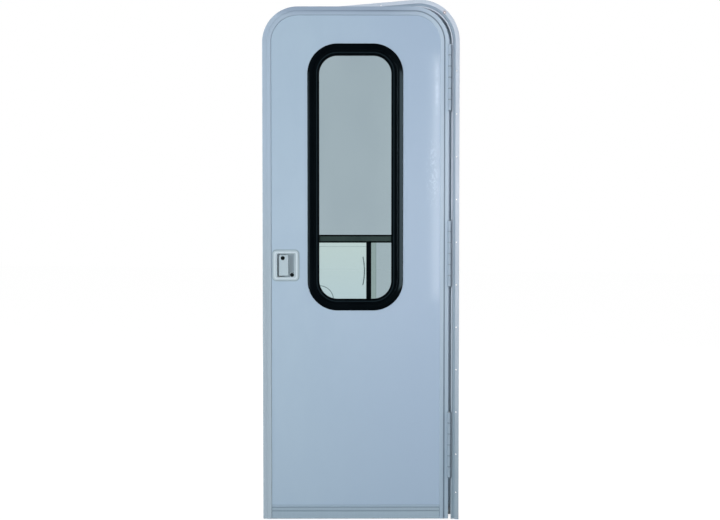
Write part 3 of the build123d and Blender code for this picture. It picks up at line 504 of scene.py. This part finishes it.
def window_pane(name, deep, pale, marks=()):
    """A pane of safety glass, a little uneven in tone, with marks of edges and haze."""
    finish = Finish(name)
    haze = finish.noise(3.0, detail=2.0, place=finish.stretched((1.2, 1.0, 0.5)))
    finish.colour(finish.marked(finish.two_tones(haze, deep, pale), marks))
    finish.rough(finish.spread(finish.noise(40.0), 0.0, 0.015))
    finish.set(Transmission_Weight=1.0, IOR=1.45)
    return finish.material


def foam_block(name, deep, pale):
    """Rigid white foam with a beady cut face."""
    finish = Finish(name)
    beads = finish.noise(260.0, detail=2.0)
    finish.colour(finish.two_tones(beads, deep, pale))
    finish.rough(finish.spread(beads, 0.75, 0.9))
    finish.bump(beads, strength=0.35, distance=0.0008)
    return finish.material


# Outlines that dirt and wear follow, as centre, half size and corner radius
door_outline = (across_up(DOOR_WIDTH / 2, 0), (DOOR_WIDTH / 2, DOOR_HEIGHT), DOOR_CORNER_RADIUS)
ring_outline = (
    across_up(WINDOW_U, WINDOW_V), (RING_WIDTH / 2, RING_HEIGHT / 2), RING_CORNER_RADIUS)
bezel_outline = (across_up(LOCK_U, LOCK_V), (BEZEL_WIDTH / 2, BEZEL_HEIGHT / 2), BEZEL_RADIUS)
frame_outline = (
    ((HINGE_WALL + LATCH_WALL) / 2, foot_level),
    ((HINGE_WALL - LATCH_WALL) / 2, DOOR_HEIGHT + FRAME_GAP),
    FRAME_CORNER_RADIUS,
)


def panel_hinge_side_shade(finish):
    """Painted shade: the panel's deeper tone towards the hinges, away from the key light."""
    return finish.sideways(PANEL_HINGE_SIDE_U)


def streak_specks_highlight(finish):
    """Painted highlight: pale specks of a glossy streak on the panel beside the hinge trim."""
    patch = finish.product(
        finish.upright_line(SPECKS_U, SPECKS_WIDTH), finish.level_band(SPECKS_V, SPECKS_FADE))
    specks = finish.noise(130.0, detail=4.0, roughness=0.6, place=finish.stretched((1, 1, 0.7)))
    return finish.product(patch, finish.spread(specks, low=0.0, high=0.7, start=0.48, end=0.68))


def streak_highlight(finish):
    """Painted highlight: a pale glossy streak above the specks."""
    patch = finish.product(
        finish.upright_line(STREAK_U, STREAK_WIDTH), finish.level_band(STREAK_V, STREAK_FADE))
    streaks = finish.noise(26.0)
    return finish.product(patch, finish.spread(streaks, low=0.15, high=0.55, start=0.4, end=0.6))


def bezel_contact_shadow(finish):
    """Painted shadow on the panel along the edge of the lock's bezel."""
    edge = finish.rim_line(bezel_outline, -BEZEL_SHADOW_OUTSET, BEZEL_SHADOW_WIDTH)
    return finish.product(edge, BEZEL_SHADOW_SHARE)


def bezel_crest_highlight(finish):
    """Painted highlight along the crest of the lock's bezel."""
    return finish.rim_line(bezel_outline, CREST_INSET, CREST_WIDTH)


def trim_step_shade(finish):
    """Painted shade in the trim's step, thicker towards the hinges where the step faces away from the light."""
    return finish.product(
        finish.rim_line(door_outline, TRIM_STEP_INSET, TRIM_STEP_WIDTH),
        finish.sideways((0, DOOR_WIDTH), low=TRIM_STEP_LATCH_SHARE))


def trim_hinge_side_light(finish):
    """Painted light: the trim's paler tone towards the hinges."""
    return finish.sideways(TRIM_HINGE_SIDE_U)


def trim_upper(finish):
    """The trim's bluer paint above the lock."""
    return finish.upwards(TRIM_UPPER_V)


def trim_head_shade(finish):
    """Painted shade: the deeper tone of the trim along the head, up to the hinge-side corner."""
    return finish.product(
        finish.upwards(TRIM_HEAD_V), finish.sideways(TRIM_HEAD_END_U, 1.0, 0.0))


def foot_darkening(share):
    """A darker tone that deepens towards the foot."""
    def factor(finish):
        return finish.upwards(FOOT_DARKENING_V, share, 0.0)
    return factor


def trim_foot(finish):
    """The trim's hinge side, darker towards the foot."""
    return finish.product(trim_hinge_side_light(finish), foot_darkening(TRIM_FOOT_SHARE)(finish))


def rail_groove_shade(finish):
    """Painted shade in the bottom rail's two grooves."""
    lower, upper = (finish.level_line(v, RAIL_GROOVE_WIDTH) for v in RAIL_GROOVES_V)
    return finish.sum_of("ADD", lower, upper)


def rail_top(finish):
    """The bottom rail's upper band, in a paler tone like the panel's."""
    return finish.upwards(RAIL_TOP_V)


def flange_rust(finish):
    """A rust stain at the head's corner screw on the hinge side."""
    screw_reach = FRAME_CORNER_RADIUS + FLANGE_SCREW_LINE
    past_corner = screw_reach * math.sqrt(0.5) - FRAME_CORNER_RADIUS
    head = foot_level + DOOR_HEIGHT + FRAME_GAP
    stain = finish.reach((HINGE_WALL + past_corner, 0, head + past_corner), kept=(1, 0, 1))
    return finish.spread(stain, RUST_SHARE, 0.0, *RUST_REACH)


def flange_cove_shade(finish):
    """Painted shade in the cove of the frame's flange."""
    return finish.band(finish.outward(frame_outline), FLANGE_COVE, COVE_FADE)


def knuckle_gap_shade(centre):
    """Painted shade in the gaps at the ends of a hinge's knuckles, about its pin."""
    def factor(finish):
        height = finish.sum_of("SUBTRACT", finish.along("Z"), foot_level + centre)
        ends = finish.line(finish.sum_of("PINGPONG", height, KNUCKLE_PITCH / 2), KNUCKLE_SHADE_WIDTH)
        from_pin = finish.reach((hinge_x, hinge_y, 0), kept=(1, 1, 0))
        return finish.product(ends, finish.spread(from_pin, 1.0, 0.0, *KNUCKLE_SHADE_REACH))
    return factor


def bead_edge_highlight(finish):
    """A faint painted highlight along the edge of the window ring's glazing bead."""
    return finish.rim_line(ring_outline, BEAD_EDGE, BEAD_EDGE_WIDTH)


def slider_arc(glass):
    """A thin dark arc in the sliding pane's lower corner."""
    x, z = across_up(SIGHT_LEFT, SLIDER_ARC_V)
    reach = glass.reach((x, 0, z), kept=(1, 0, 1))
    return glass.line(glass.sum_of("SUBTRACT", reach, SLIDER_ARC_RADIUS), SLIDER_ARC_WIDTH)


def slider_edge(glass):
    """The thin line of the sliding pane's upper edge."""
    return glass.level_line(SLIDER_EDGE_V, SLIDER_EDGE_WIDTH)


def slider_haze(glass):
    """A warmer haze towards the sliding pane's head."""
    return glass.upwards(SLIDER_HAZE_V, high=SLIDER_HAZE_SHARE)


def fixed_edge(glass):
    """The thin edge of the sliding pane, seen through the fixed one."""
    return glass.upright_line(FIXED_EDGE_U, FIXED_EDGE_WIDTH)


def fixed_strip(glass):
    """The strip beside the sash rail where the fixed pane is seen over the sliding one."""
    return glass.sideways(FIXED_STRIP_END_U, FIXED_STRIP_SHARE, 0.0)


highlight_pale = paint(206, 222, 240)
foot_grey = paint(125, 146, 158)
finishes = {
    # The panel's marks are painted shade towards the hinges, a painted shadow round the lock's bezel, and a
    # painted highlight streak with its specks.
    "outer_skin": gelcoat_panel(
        "panel_gelcoat", paint(163, 185, 205), paint(166, 188, 207), paint(169, 191, 209),
        paint(150, 171, 190), tints=[(panel_hinge_side_shade, paint(162, 183, 206))],
        marks=[(bezel_contact_shadow, paint(126, 144, 154)), (streak_specks_highlight, highlight_pale),
               (streak_highlight, highlight_pale)]),
    "inner_skin": gelcoat_panel(
        "lining_gelcoat", paint(214, 217, 218), paint(221, 224, 224), paint(227, 229, 228),
        paint(208, 210, 208)),
    # The trim's marks hold painted shade along its head and in its step, and painted light towards the hinges.
    "trim_paint": painted_metal(
        "trim_paint", paint(157, 174, 187), paint(165, 182, 194),
        marks=[(trim_upper, paint(163, 182, 201)), (trim_head_shade, paint(147, 165, 186)),
               (trim_hinge_side_light, paint(179, 197, 215)), (trim_foot, paint(128, 152, 168)),
               (trim_step_shade, paint(70, 88, 106))]),
    # The frame paint carries painted shade in its flange's cove.
    "frame_paint": painted_metal(
        "frame_paint", paint(186, 197, 212), paint(194, 205, 219), turned=False,
        marks=[(flange_cove_shade, paint(144, 161, 178)), (flange_rust, paint(150, 116, 108)),
               (foot_darkening(FRAME_FOOT_SHARE), foot_grey)]),
    "hinge_paint": painted_metal(
        "hinge_paint", paint(164, 182, 198), paint(174, 192, 207), turned=False),
    "sill_metal": bare_metal(
        "sill_metal", (0.44, 0.48, 0.51, 1), (0.52, 0.56, 0.59, 1), (0.5, 0.6), turned=False,
        metallic=0.1),
    "plate_steel": bare_metal(
        "plate_steel", (0.58, 0.58, 0.59, 1), (0.68, 0.68, 0.69, 1), (0.29, 0.4)),
    "pin_steel": bare_metal(
        "pin_steel", (0.5, 0.5, 0.52, 1), (0.62, 0.62, 0.63, 1), (0.29, 0.38)),
    "seal_rubber": rubber("seal_rubber", paint(140, 154, 166), paint(156, 170, 181)),
    "core_foam": foam_block("core_foam", paint(222, 222, 216), paint(238, 238, 233)),
    "ring_black": ring_plastic("ring_black", paint(2, 5, 8), paint(4, 8, 12)),
    "transom_dark": moulded_plastic(
        "transom_dark", paint(33, 51, 50), paint(42, 60, 58), sheen=0.3),
    "garnish_white": moulded_plastic("garnish_white", paint(220, 222, 221), paint(230, 231, 229)),
    "tinted_glass": window_pane("tinted_glass", paint(157, 174, 182), paint(164, 181, 188)),
    "clear_glass": window_pane(
        "clear_glass", paint(181, 203, 207), paint(185, 207, 212),
        marks=[(slider_haze, paint(197, 215, 207)), (slider_edge, paint(158, 176, 178)),
               (slider_arc, paint(92, 110, 114))]),
    "pull_grey": moulded_plastic("pull_grey", paint(206, 215, 218), paint(217, 225, 228)),
    # The lock paint carries a painted highlight along the bezel's crest.
    "lock_paint": painted_metal(
        "lock_paint", paint(169, 187, 197), paint(177, 195, 204), gloss=0.6,
        marks=[(bezel_crest_highlight, paint(206, 220, 230))]),
    "key_steel": bare_metal(
        "key_steel", (0.02, 0.03, 0.035, 1), (0.045, 0.06, 0.065, 1), (0.3, 0.45)),
    "inner_lock_black": moulded_plastic(
        "inner_lock_black", paint(22, 23, 25), paint(34, 35, 37), roughness=(0.4, 0.55)),
}
# The rail's grooves carry painted shade.
rail_paint = painted_metal(
    "rail_paint", paint(144, 164, 179), paint(150, 170, 185),
    marks=[(rail_top, paint(152, 172, 190)), (rail_groove_shade, paint(112, 131, 146))])
lower_tint = window_pane(
    "lower_tint", paint(157, 175, 181), paint(163, 181, 187),
    marks=[(fixed_strip, paint(141, 162, 160)), (fixed_edge, paint(126, 148, 148))])
gasket_black = rubber("gasket_black", paint(2, 6, 6), paint(6, 12, 12), sheen=0.0)

slot_of = {part["node"]: part["material_slot"] for part in frame["record"]["subparts"]}
finish_of = {node: finishes[slot] for node, slot in slot_of.items()}
finish_of["bottom_rail"] = rail_paint
finish_of["fixed_lower_glass"] = lower_tint
for place, centre in HINGE_CENTRES.items():
    # Each hinge's paint carries painted shade in its knuckles' gaps.
    knuckled = painted_metal(
        "hinge_paint_" + place, paint(152, 170, 188), paint(162, 180, 197), turned=False, gloss=0.0,
        marks=[(foot_darkening(HINGE_FOOT_SHARE), foot_grey),
               (knuckle_gap_shade(centre), paint(92, 108, 124))])
    finish_of["hinge_frame_leaf_" + place] = knuckled
    finish_of["hinge_door_leaf_" + place] = knuckled
for name, finish in finish_of.items():
    node = frame["nodes"][name]
    node.data.materials.clear()
    node.data.materials.append(finish)


def new_piece(name, mesh, body):
    """A finished mesh as a piece that moves with a body."""
    piece = bpy.data.objects.new(name, mesh)
    bpy.context.scene.collection.objects.link(piece)
    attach(piece, body)
    return piece


def baked(source, name):
    """The mesh of an object with its modifiers applied."""
    graph = bpy.context.evaluated_depsgraph_get()
    mesh = bpy.data.meshes.new_from_object(source.evaluated_get(graph))
    mesh.name = name
    old = source.data
    bpy.data.objects.remove(source)
    bpy.data.meshes.remove(old)
    return mesh


def smooth_to(mesh, angle):
    """Smooth faces, with edges sharper than an angle kept sharp."""
    mesh.polygons.foreach_set("use_smooth", [True] * len(mesh.polygons))
    mesh.set_sharp_from_angle(angle=angle)


def cross_head_tree():
    """Geometry Nodes that set a domed cross-head screw on every point, along its facing."""
    tree = bpy.data.node_groups.new("cross_head_screws", "GeometryNodeTree")
    face = tree.interface
    face.new_socket("Places", in_out="INPUT", socket_type="NodeSocketGeometry")
    for name in ("Head Radius", "Head Height", "Recess Length", "Recess Width"):
        face.new_socket(name, in_out="INPUT", socket_type="NodeSocketFloat")
    face.new_socket("Seed", in_out="INPUT", socket_type="NodeSocketInt")
    face.new_socket("Metal", in_out="INPUT", socket_type="NodeSocketMaterial")
    face.new_socket("Screws", in_out="OUTPUT", socket_type="NodeSocketGeometry")
    link = tree.links.new

    def new(kind, **options):
        node = tree.nodes.new(kind)
        for name, value in options.items():
            setattr(node, name, value)
        return node

    given = new("NodeGroupInput").outputs
    result = new("NodeGroupOutput")

    def size(**sides):
        """A vector of the tree's named sizes, one to a side."""
        node = new("ShaderNodeCombineXYZ")
        for side, name in sides.items():
            link(given[name], node.inputs[side])
        return node.outputs[0]

    dome = new("GeometryNodeMeshUVSphere")
    dome.inputs["Segments"].default_value = HEAD_SEGMENTS
    dome.inputs["Rings"].default_value = HEAD_RINGS
    dome.inputs["Radius"].default_value = 1.0
    head = new("GeometryNodeTransform")
    link(dome.outputs["Mesh"], head.inputs["Geometry"])
    link(size(X="Head Radius", Y="Head Radius", Z="Head Height"), head.inputs["Scale"])

    cross = new("GeometryNodeJoinGeometry")
    for first, second in (("Recess Length", "Recess Width"), ("Recess Width", "Recess Length")):
        bar = new("GeometryNodeMeshCube")
        link(size(X=first, Y=second, Z="Head Height"), bar.inputs["Size"])
        link(bar.outputs["Mesh"], cross.inputs[0])
    recess = new("GeometryNodeTransform")
    link(cross.outputs[0], recess.inputs["Geometry"])
    link(size(Z="Head Height"), recess.inputs["Translation"])
    cut = new("GeometryNodeMeshBoolean", operation="DIFFERENCE", solver="EXACT")
    link(head.outputs[0], cut.inputs["Mesh 1"])
    link(recess.outputs[0], cut.inputs["Mesh 2"])
    cut.inputs["Self Intersection"].default_value = True

    facing = new("GeometryNodeInputNamedAttribute", data_type="FLOAT_VECTOR")
    facing.inputs["Name"].default_value = "facing"
    upright = new("FunctionNodeAlignRotationToVector", axis="Z")
    link(facing.outputs["Attribute"], upright.inputs["Vector"])
    chance = new("FunctionNodeRandomValue", data_type="FLOAT")
    chance.inputs[2].default_value = 0.0
    chance.inputs[3].default_value = math.tau
    link(given["Seed"], chance.inputs["Seed"])
    spin_axis = new("ShaderNodeCombineXYZ")
    link(chance.outputs[1], spin_axis.inputs["Z"])
    spin = new("FunctionNodeEulerToRotation")
    link(spin_axis.outputs[0], spin.inputs[0])
    turned = new("FunctionNodeRotateRotation", rotation_space="LOCAL")
    link(upright.outputs[0], turned.inputs["Rotation"])
    link(spin.outputs[0], turned.inputs["Rotate By"])

    each = new("GeometryNodeInstanceOnPoints")
    link(given["Places"], each.inputs["Points"])
    link(cut.outputs["Mesh"], each.inputs["Instance"])
    link(turned.outputs[0], each.inputs["Rotation"])
    whole = new("GeometryNodeRealizeInstances")
    link(each.outputs[0], whole.inputs[0])
    coated = new("GeometryNodeSetMaterial")
    link(whole.outputs[0], coated.inputs["Geometry"])
    link(given["Metal"], coated.inputs["Material"])
    link(coated.outputs[0], result.inputs[0])
    return tree


screw_tree = cross_head_tree()


def screws(name, body, slot, head, places):
    """Screw heads at (point, facing) places, as one piece of a body."""
    points = bpy.data.meshes.new(name + "_places")
    points.from_pydata([place for place, _ in places], [], [])
    facing = points.attributes.new("facing", "FLOAT_VECTOR", "POINT")
    for item, (_, direction) in zip(facing.data, places):
        item.vector = direction
    carrier = bpy.data.objects.new(name + "_places", points)
    bpy.context.scene.collection.objects.link(carrier)
    modifier = carrier.modifiers.new("screws", "NODES")
    modifier.node_group = screw_tree
    radius, height = head
    values = {
        "Head Radius": radius, "Head Height": height, "Recess Length": RECESS_LENGTH * radius,
        "Recess Width": RECESS_WIDTH * radius, "Seed": len(places), "Metal": finishes[slot],
    }
    for item in screw_tree.interface.items_tree:
        if item.name in values:
            modifier[item.identifier] = values[item.name]
    mesh = baked(carrier, name)
    smooth_to(mesh, HEAD_EDGE_ANGLE)
    return new_piece(name, mesh, body)


def rounded_loop(width, height, radius, count):
    """Points spaced evenly round a rounded rectangle about its middle."""
    half_w, half_h = width / 2 - radius, height / 2 - radius
    quarter = radius * math.pi / 2
    lengths = [2 * half_h, quarter, 2 * half_w, quarter] * 2
    total = sum(lengths)
    found = []
    for step in range(count):
        left = (step + 0.5) * total / count
        for side, length in enumerate(lengths):
            if left <= length:
                break
            left -= length
        turn = side // 2 * math.pi / 2
        if side % 2 == 0:
            reach, half = (width / 2, half_h) if side in (0, 4) else (height / 2, half_w)
            point = Vector((reach, left - half))
        else:
            angle = left / radius
            flat = (half_w, half_h) if side in (1, 5) else (half_h, half_w)
            point = Vector((flat[0] + radius * math.cos(angle), flat[1] + radius * math.sin(angle)))
        found.append(Matrix.Rotation(turn, 2) @ point)
    return found


garnish_loop = rounded_loop(
    RING_WIDTH - GARNISH_BAND, RING_HEIGHT - GARNISH_BAND,
    RING_CORNER_RADIUS - GARNISH_BAND / 2, GARNISH_SCREWS)
hinge_screw_heights = [
    centre + along for centre in HINGE_CENTRES.values() for along in HINGE_SCREWS]
bolt_screw_heights = [LOCK_V + end * BOLT_SCREW_REACH for end in (-1, 1)]
towards_hinges = Vector((1, 0, 0))
towards_latch = Vector((-1, 0, 0))

screws("garnish_screws", "door", "garnish_white", GARNISH_HEAD, [
    (door_point(WINDOW_U + place[0], INNER_FACE + GARNISH_PROUD, WINDOW_V + place[1]), inward)
    for place in garnish_loop])
screws("inner_plate_screws", "door", "inner_lock_black", PLATE_HEAD, [
    (door_point(LOCK_U + side * PLATE_SCREW_U, INNER_FACE + INNER_PLATE,
                LOCK_V + end * PLATE_SCREW_V), inward)
    for side in (-1, 1) for end in (-1, 1)])
screws("door_leaf_screws", "door", "hinge_paint", FLUSH_HEAD, [
    (door_point(DOOR_WIDTH + HINGE_LEAF, DOOR_LEAF_SCREW_D, v), across)
    for v in hinge_screw_heights])
screws("faceplate_screws", "door", "plate_steel", FLUSH_HEAD, [
    (door_point(0, FACEPLATE_SCREW_D, v), -across) for v in bolt_screw_heights])
screws("frame_leaf_screws", "frame", "hinge_paint", FLUSH_HEAD, [
    (Vector((HINGE_WALL - HINGE_LEAF, FRAME_LEAF_SCREW_Y, foot_level + v)), towards_latch)
    for v in hinge_screw_heights])
screws("strike_screws", "frame", "plate_steel", FLUSH_HEAD, [
    (Vector((LATCH_WALL, STRIKE_SCREW_Y, foot_level + v)), towards_hinges)
    for v in bolt_screw_heights])


def transom_gasket(name, foot):
    """A crowned rubber strip along the transom, from one side of the window to the other."""
    front = TRANSOM_FRONT - GASKET_PROUD
    back = front + GASKET_DEPTH
    build = bmesh.new()
    rings = []
    for u in (SIGHT_LEFT, SIGHT_RIGHT):
        ring = [build.verts.new(door_point(u, back, foot))]
        for step in range(GASKET_STEPS + 1):
            share = step / GASKET_STEPS
            bulge = GASKET_CROWN * math.sin(math.pi * share)
            place = door_point(u, front - bulge, foot + share * GASKET_HEIGHT)
            ring.append(build.verts.new(place))
        ring.append(build.verts.new(door_point(u, back, foot + GASKET_HEIGHT)))
        rings.append(ring)
    left, right = rings
    for step in range(len(left)):
        following = (step + 1) % len(left)
        build.faces.new((left[step], left[following], right[following], right[step]))
    build.faces.new(left)
    build.faces.new(list(reversed(right)))
    bmesh.ops.recalc_face_normals(build, faces=build.faces)
    mesh = bpy.data.meshes.new(name)
    build.to_mesh(mesh)
    build.free()
    mesh.materials.append(gasket_black)
    new_piece(name, mesh, "door")


transom_gasket("transom_gasket_top", TRANSOM_TOP - GASKET_HEIGHT + GASKET_LAP)
transom_gasket("transom_gasket_foot", TRANSOM_FOOT - GASKET_LAP)

body_of = {
    node: body
    for body, nodes in frame["record"]["behaviour"]["bodies"].items() for node in nodes
}


def softened(name, width):
    """A node's own shape with its sharp edges eased, in place of the node."""
    build = bmesh.new()
    build.from_mesh(frame["nodes"][name].data)
    bmesh.ops.remove_doubles(build, verts=build.verts, dist=MERGE_DISTANCE)
    bmesh.ops.dissolve_limit(
        build, angle_limit=FLAT_ANGLE, verts=build.verts, edges=build.edges)
    mesh = bpy.data.meshes.new(name + "_eased")
    build.to_mesh(mesh)
    build.free()
    mesh.materials.clear()
    mesh.materials.append(finish_of[name])
    smooth_to(mesh, EASED_ANGLE)
    carrier = bpy.data.objects.new(name + "_eased", mesh)
    bpy.context.scene.collection.objects.link(carrier)
    modifier = carrier.modifiers.new("eased", "BEVEL")
    modifier.limit_method = "ANGLE"
    modifier.angle_limit = EASED_ANGLE
    modifier.width = width
    modifier.segments = EASED_SEGMENTS
    modifier.harden_normals = True
    eased = baked(carrier, name + "_eased")
    piece = new_piece(name + "_eased", eased, body_of[name])
    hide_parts(name)


for name, width in EASED_EDGES.items():
    softened(name, width)


def white_to_lens(shading, place, start):
    """One for rays that reach the lens directly, through glass or mirrored from beyond the door.

    The place counts as beyond the door from where it lies past start, inwards.
    """
    path = shading.node("ShaderNodeLightPath").outputs
    direct = shading.sum_of("MAXIMUM", path["Is Camera Ray"], path["Is Transmission Ray"])
    depth = shading.vector("DOT_PRODUCT", place, inward, "Value")
    beyond = shading.spread(depth, 0.0, 1.0, start, start + BACKDROP_FADE)
    mirrored = shading.product(path["Is Glossy Ray"], beyond)
    return shading.sum_of("MAXIMUM", direct, mirrored)


def studio_world(front, side, mirrored):
    """White to the lens; as light, dim before the door, bright at its sides, dimmer in mirrors."""
    world = bpy.data.worlds.new("studio")
    world.use_nodes = True
    shading = Shading(world.node_tree)
    direction = shading.node("ShaderNodeTexCoord").outputs["Generated"]
    aside = shading.vector("DOT_PRODUCT", direction, across, "Value")
    level = shading.spread(shading.sum_of("ABSOLUTE", aside), front, side, 0.0, 1.0)
    path = shading.node("ShaderNodeLightPath").outputs
    share = shading.spread(path["Is Glossy Ray"], 1.0, mirrored, 0.0, 1.0)
    lit = shading.node("ShaderNodeBackground", Color=grey(1.0))
    shading.link(shading.product(level, share), lit.inputs["Strength"])
    seen = shading.tree.nodes["Background"]
    seen.inputs["Color"].default_value = grey(1.0)
    seen.inputs["Strength"].default_value = 1.0
    both = shading.either_shader(white_to_lens(shading, direction, start=0.0), lit, seen)
    shading.link(both.outputs[0], shading.tree.nodes["World Output"].inputs["Surface"])
    bpy.context.scene.world = world


def studio_floor():
    """A pale floor, near white to the lens but for its shadow, dim in mirrors before the door."""
    corners = [
        (x * FLOOR_REACH, y * FLOOR_REACH, foot_level)
        for x, y in ((-1, -1), (1, -1), (1, 1), (-1, 1))
    ]
    mesh = bpy.data.meshes.new("studio_floor")
    mesh.from_pydata(corners, [], [(0, 1, 2, 3)])
    floor = bpy.data.objects.new("studio_floor", mesh)
    bpy.context.scene.collection.objects.link(floor)
    material = bpy.data.materials.new("studio_floor")
    material.use_nodes = True
    shading = Shading(material.node_tree)
    shading.tree.nodes.remove(shading.tree.nodes["Principled BSDF"])
    path = shading.node("ShaderNodeLightPath").outputs
    plain = shading.node("ShaderNodeBsdfDiffuse", Color=grey(0.5))
    dim = shading.node("ShaderNodeBsdfDiffuse", Color=grey(0.08))
    felt = shading.either_shader(path["Is Glossy Ray"], plain, dim)
    shaded = shading.node("ShaderNodeBsdfDiffuse", Color=grey(0.25))
    glow = shading.node("ShaderNodeEmission", Strength=FLOOR_GLOW)
    seen = shading.node("ShaderNodeAddShader")
    shading.link(shaded.outputs[0], seen.inputs[0])
    shading.link(glow.outputs[0], seen.inputs[1])
    place = shading.node("ShaderNodeTexCoord").outputs["Object"]
    white = white_to_lens(shading, place, start=latch_foot.dot(inward))
    both = shading.either_shader(white, felt, seen)
    shading.link(both.outputs[0], shading.tree.nodes["Material Output"].inputs["Surface"])
    mesh.materials.append(material)


def softbox(name, place, size, power, aim=(DOOR_WIDTH / 2, 0, DOOR_HEIGHT / 2),
            mirrored=True, lights=True):
    """A lamp that the lens and the panes don't see: it lights, is mirrored, or both."""
    light = bpy.data.lights.new(name, "AREA")
    light.shape = "RECTANGLE"
    light.size, light.size_y = size
    light.energy = power
    lamp = bpy.data.objects.new(name, light)
    lamp.location = door_point(*place)
    towards = door_point(*aim) - door_point(*place)
    lamp.rotation_euler = towards.to_track_quat("-Z", "Y").to_euler()
    lamp.visible_camera = False
    lamp.visible_transmission = False
    lamp.visible_glossy = mirrored
    lamp.visible_diffuse = lights
    bpy.context.scene.collection.objects.link(lamp)


def photo_camera():
    """The camera at the photograph's viewing angle."""
    data = bpy.data.cameras.new("photo_camera")
    data.sensor_fit = "HORIZONTAL"
    data.sensor_width = SENSOR_WIDTH
    data.lens = LENS
    camera = bpy.data.objects.new("photo_camera", data)
    level = math.cos(CAMERA_YAW) * inward - math.sin(CAMERA_YAW) * across
    aside = math.cos(CAMERA_YAW) * across + math.sin(CAMERA_YAW) * inward
    ahead = math.cos(CAMERA_PITCH) * level - math.sin(CAMERA_PITCH) * upward
    raised = math.cos(CAMERA_PITCH) * upward + math.sin(CAMERA_PITCH) * level
    turn = Matrix((aside, raised, -ahead)).transposed().to_4x4()
    place = door_point(CAMERA_FROM_LATCH, -CAMERA_DISTANCE, CAMERA_ABOVE_FOOT)
    camera.matrix_world = Matrix.Translation(place) @ turn
    bpy.context.scene.collection.objects.link(camera)
    bpy.context.scene.camera = camera


studio_world(front=0.2, side=0.8, mirrored=0.12)
studio_floor()
softbox("key_light", (-11.98, -15.76, 1.6), size=(6.0, 6.0), power=2800, mirrored=False)
softbox("fill_light", (0.6, -3.4, 1.1), size=(1.4, 1.4), power=29, mirrored=False)
softbox("latch_sheen", (-2.6, -1.9, 1.2), size=(0.4, 2.2), power=8, lights=False)
softbox("hinge_sheen", (2.7, -2.1, 1.2), size=(2.2, 2.2), power=40, lights=False)
softbox("streak_light", (0.908, -3.10, 1.44), size=(0.04, 1.74), power=1.8,
        aim=(0.63, 0, 1.23), lights=False)
softbox("back_light", (0.3, 4.0, 2.6), size=(2.0, 2.0), power=80)
photo_camera()
bpy.context.scene.view_settings.view_transform = "Standard"
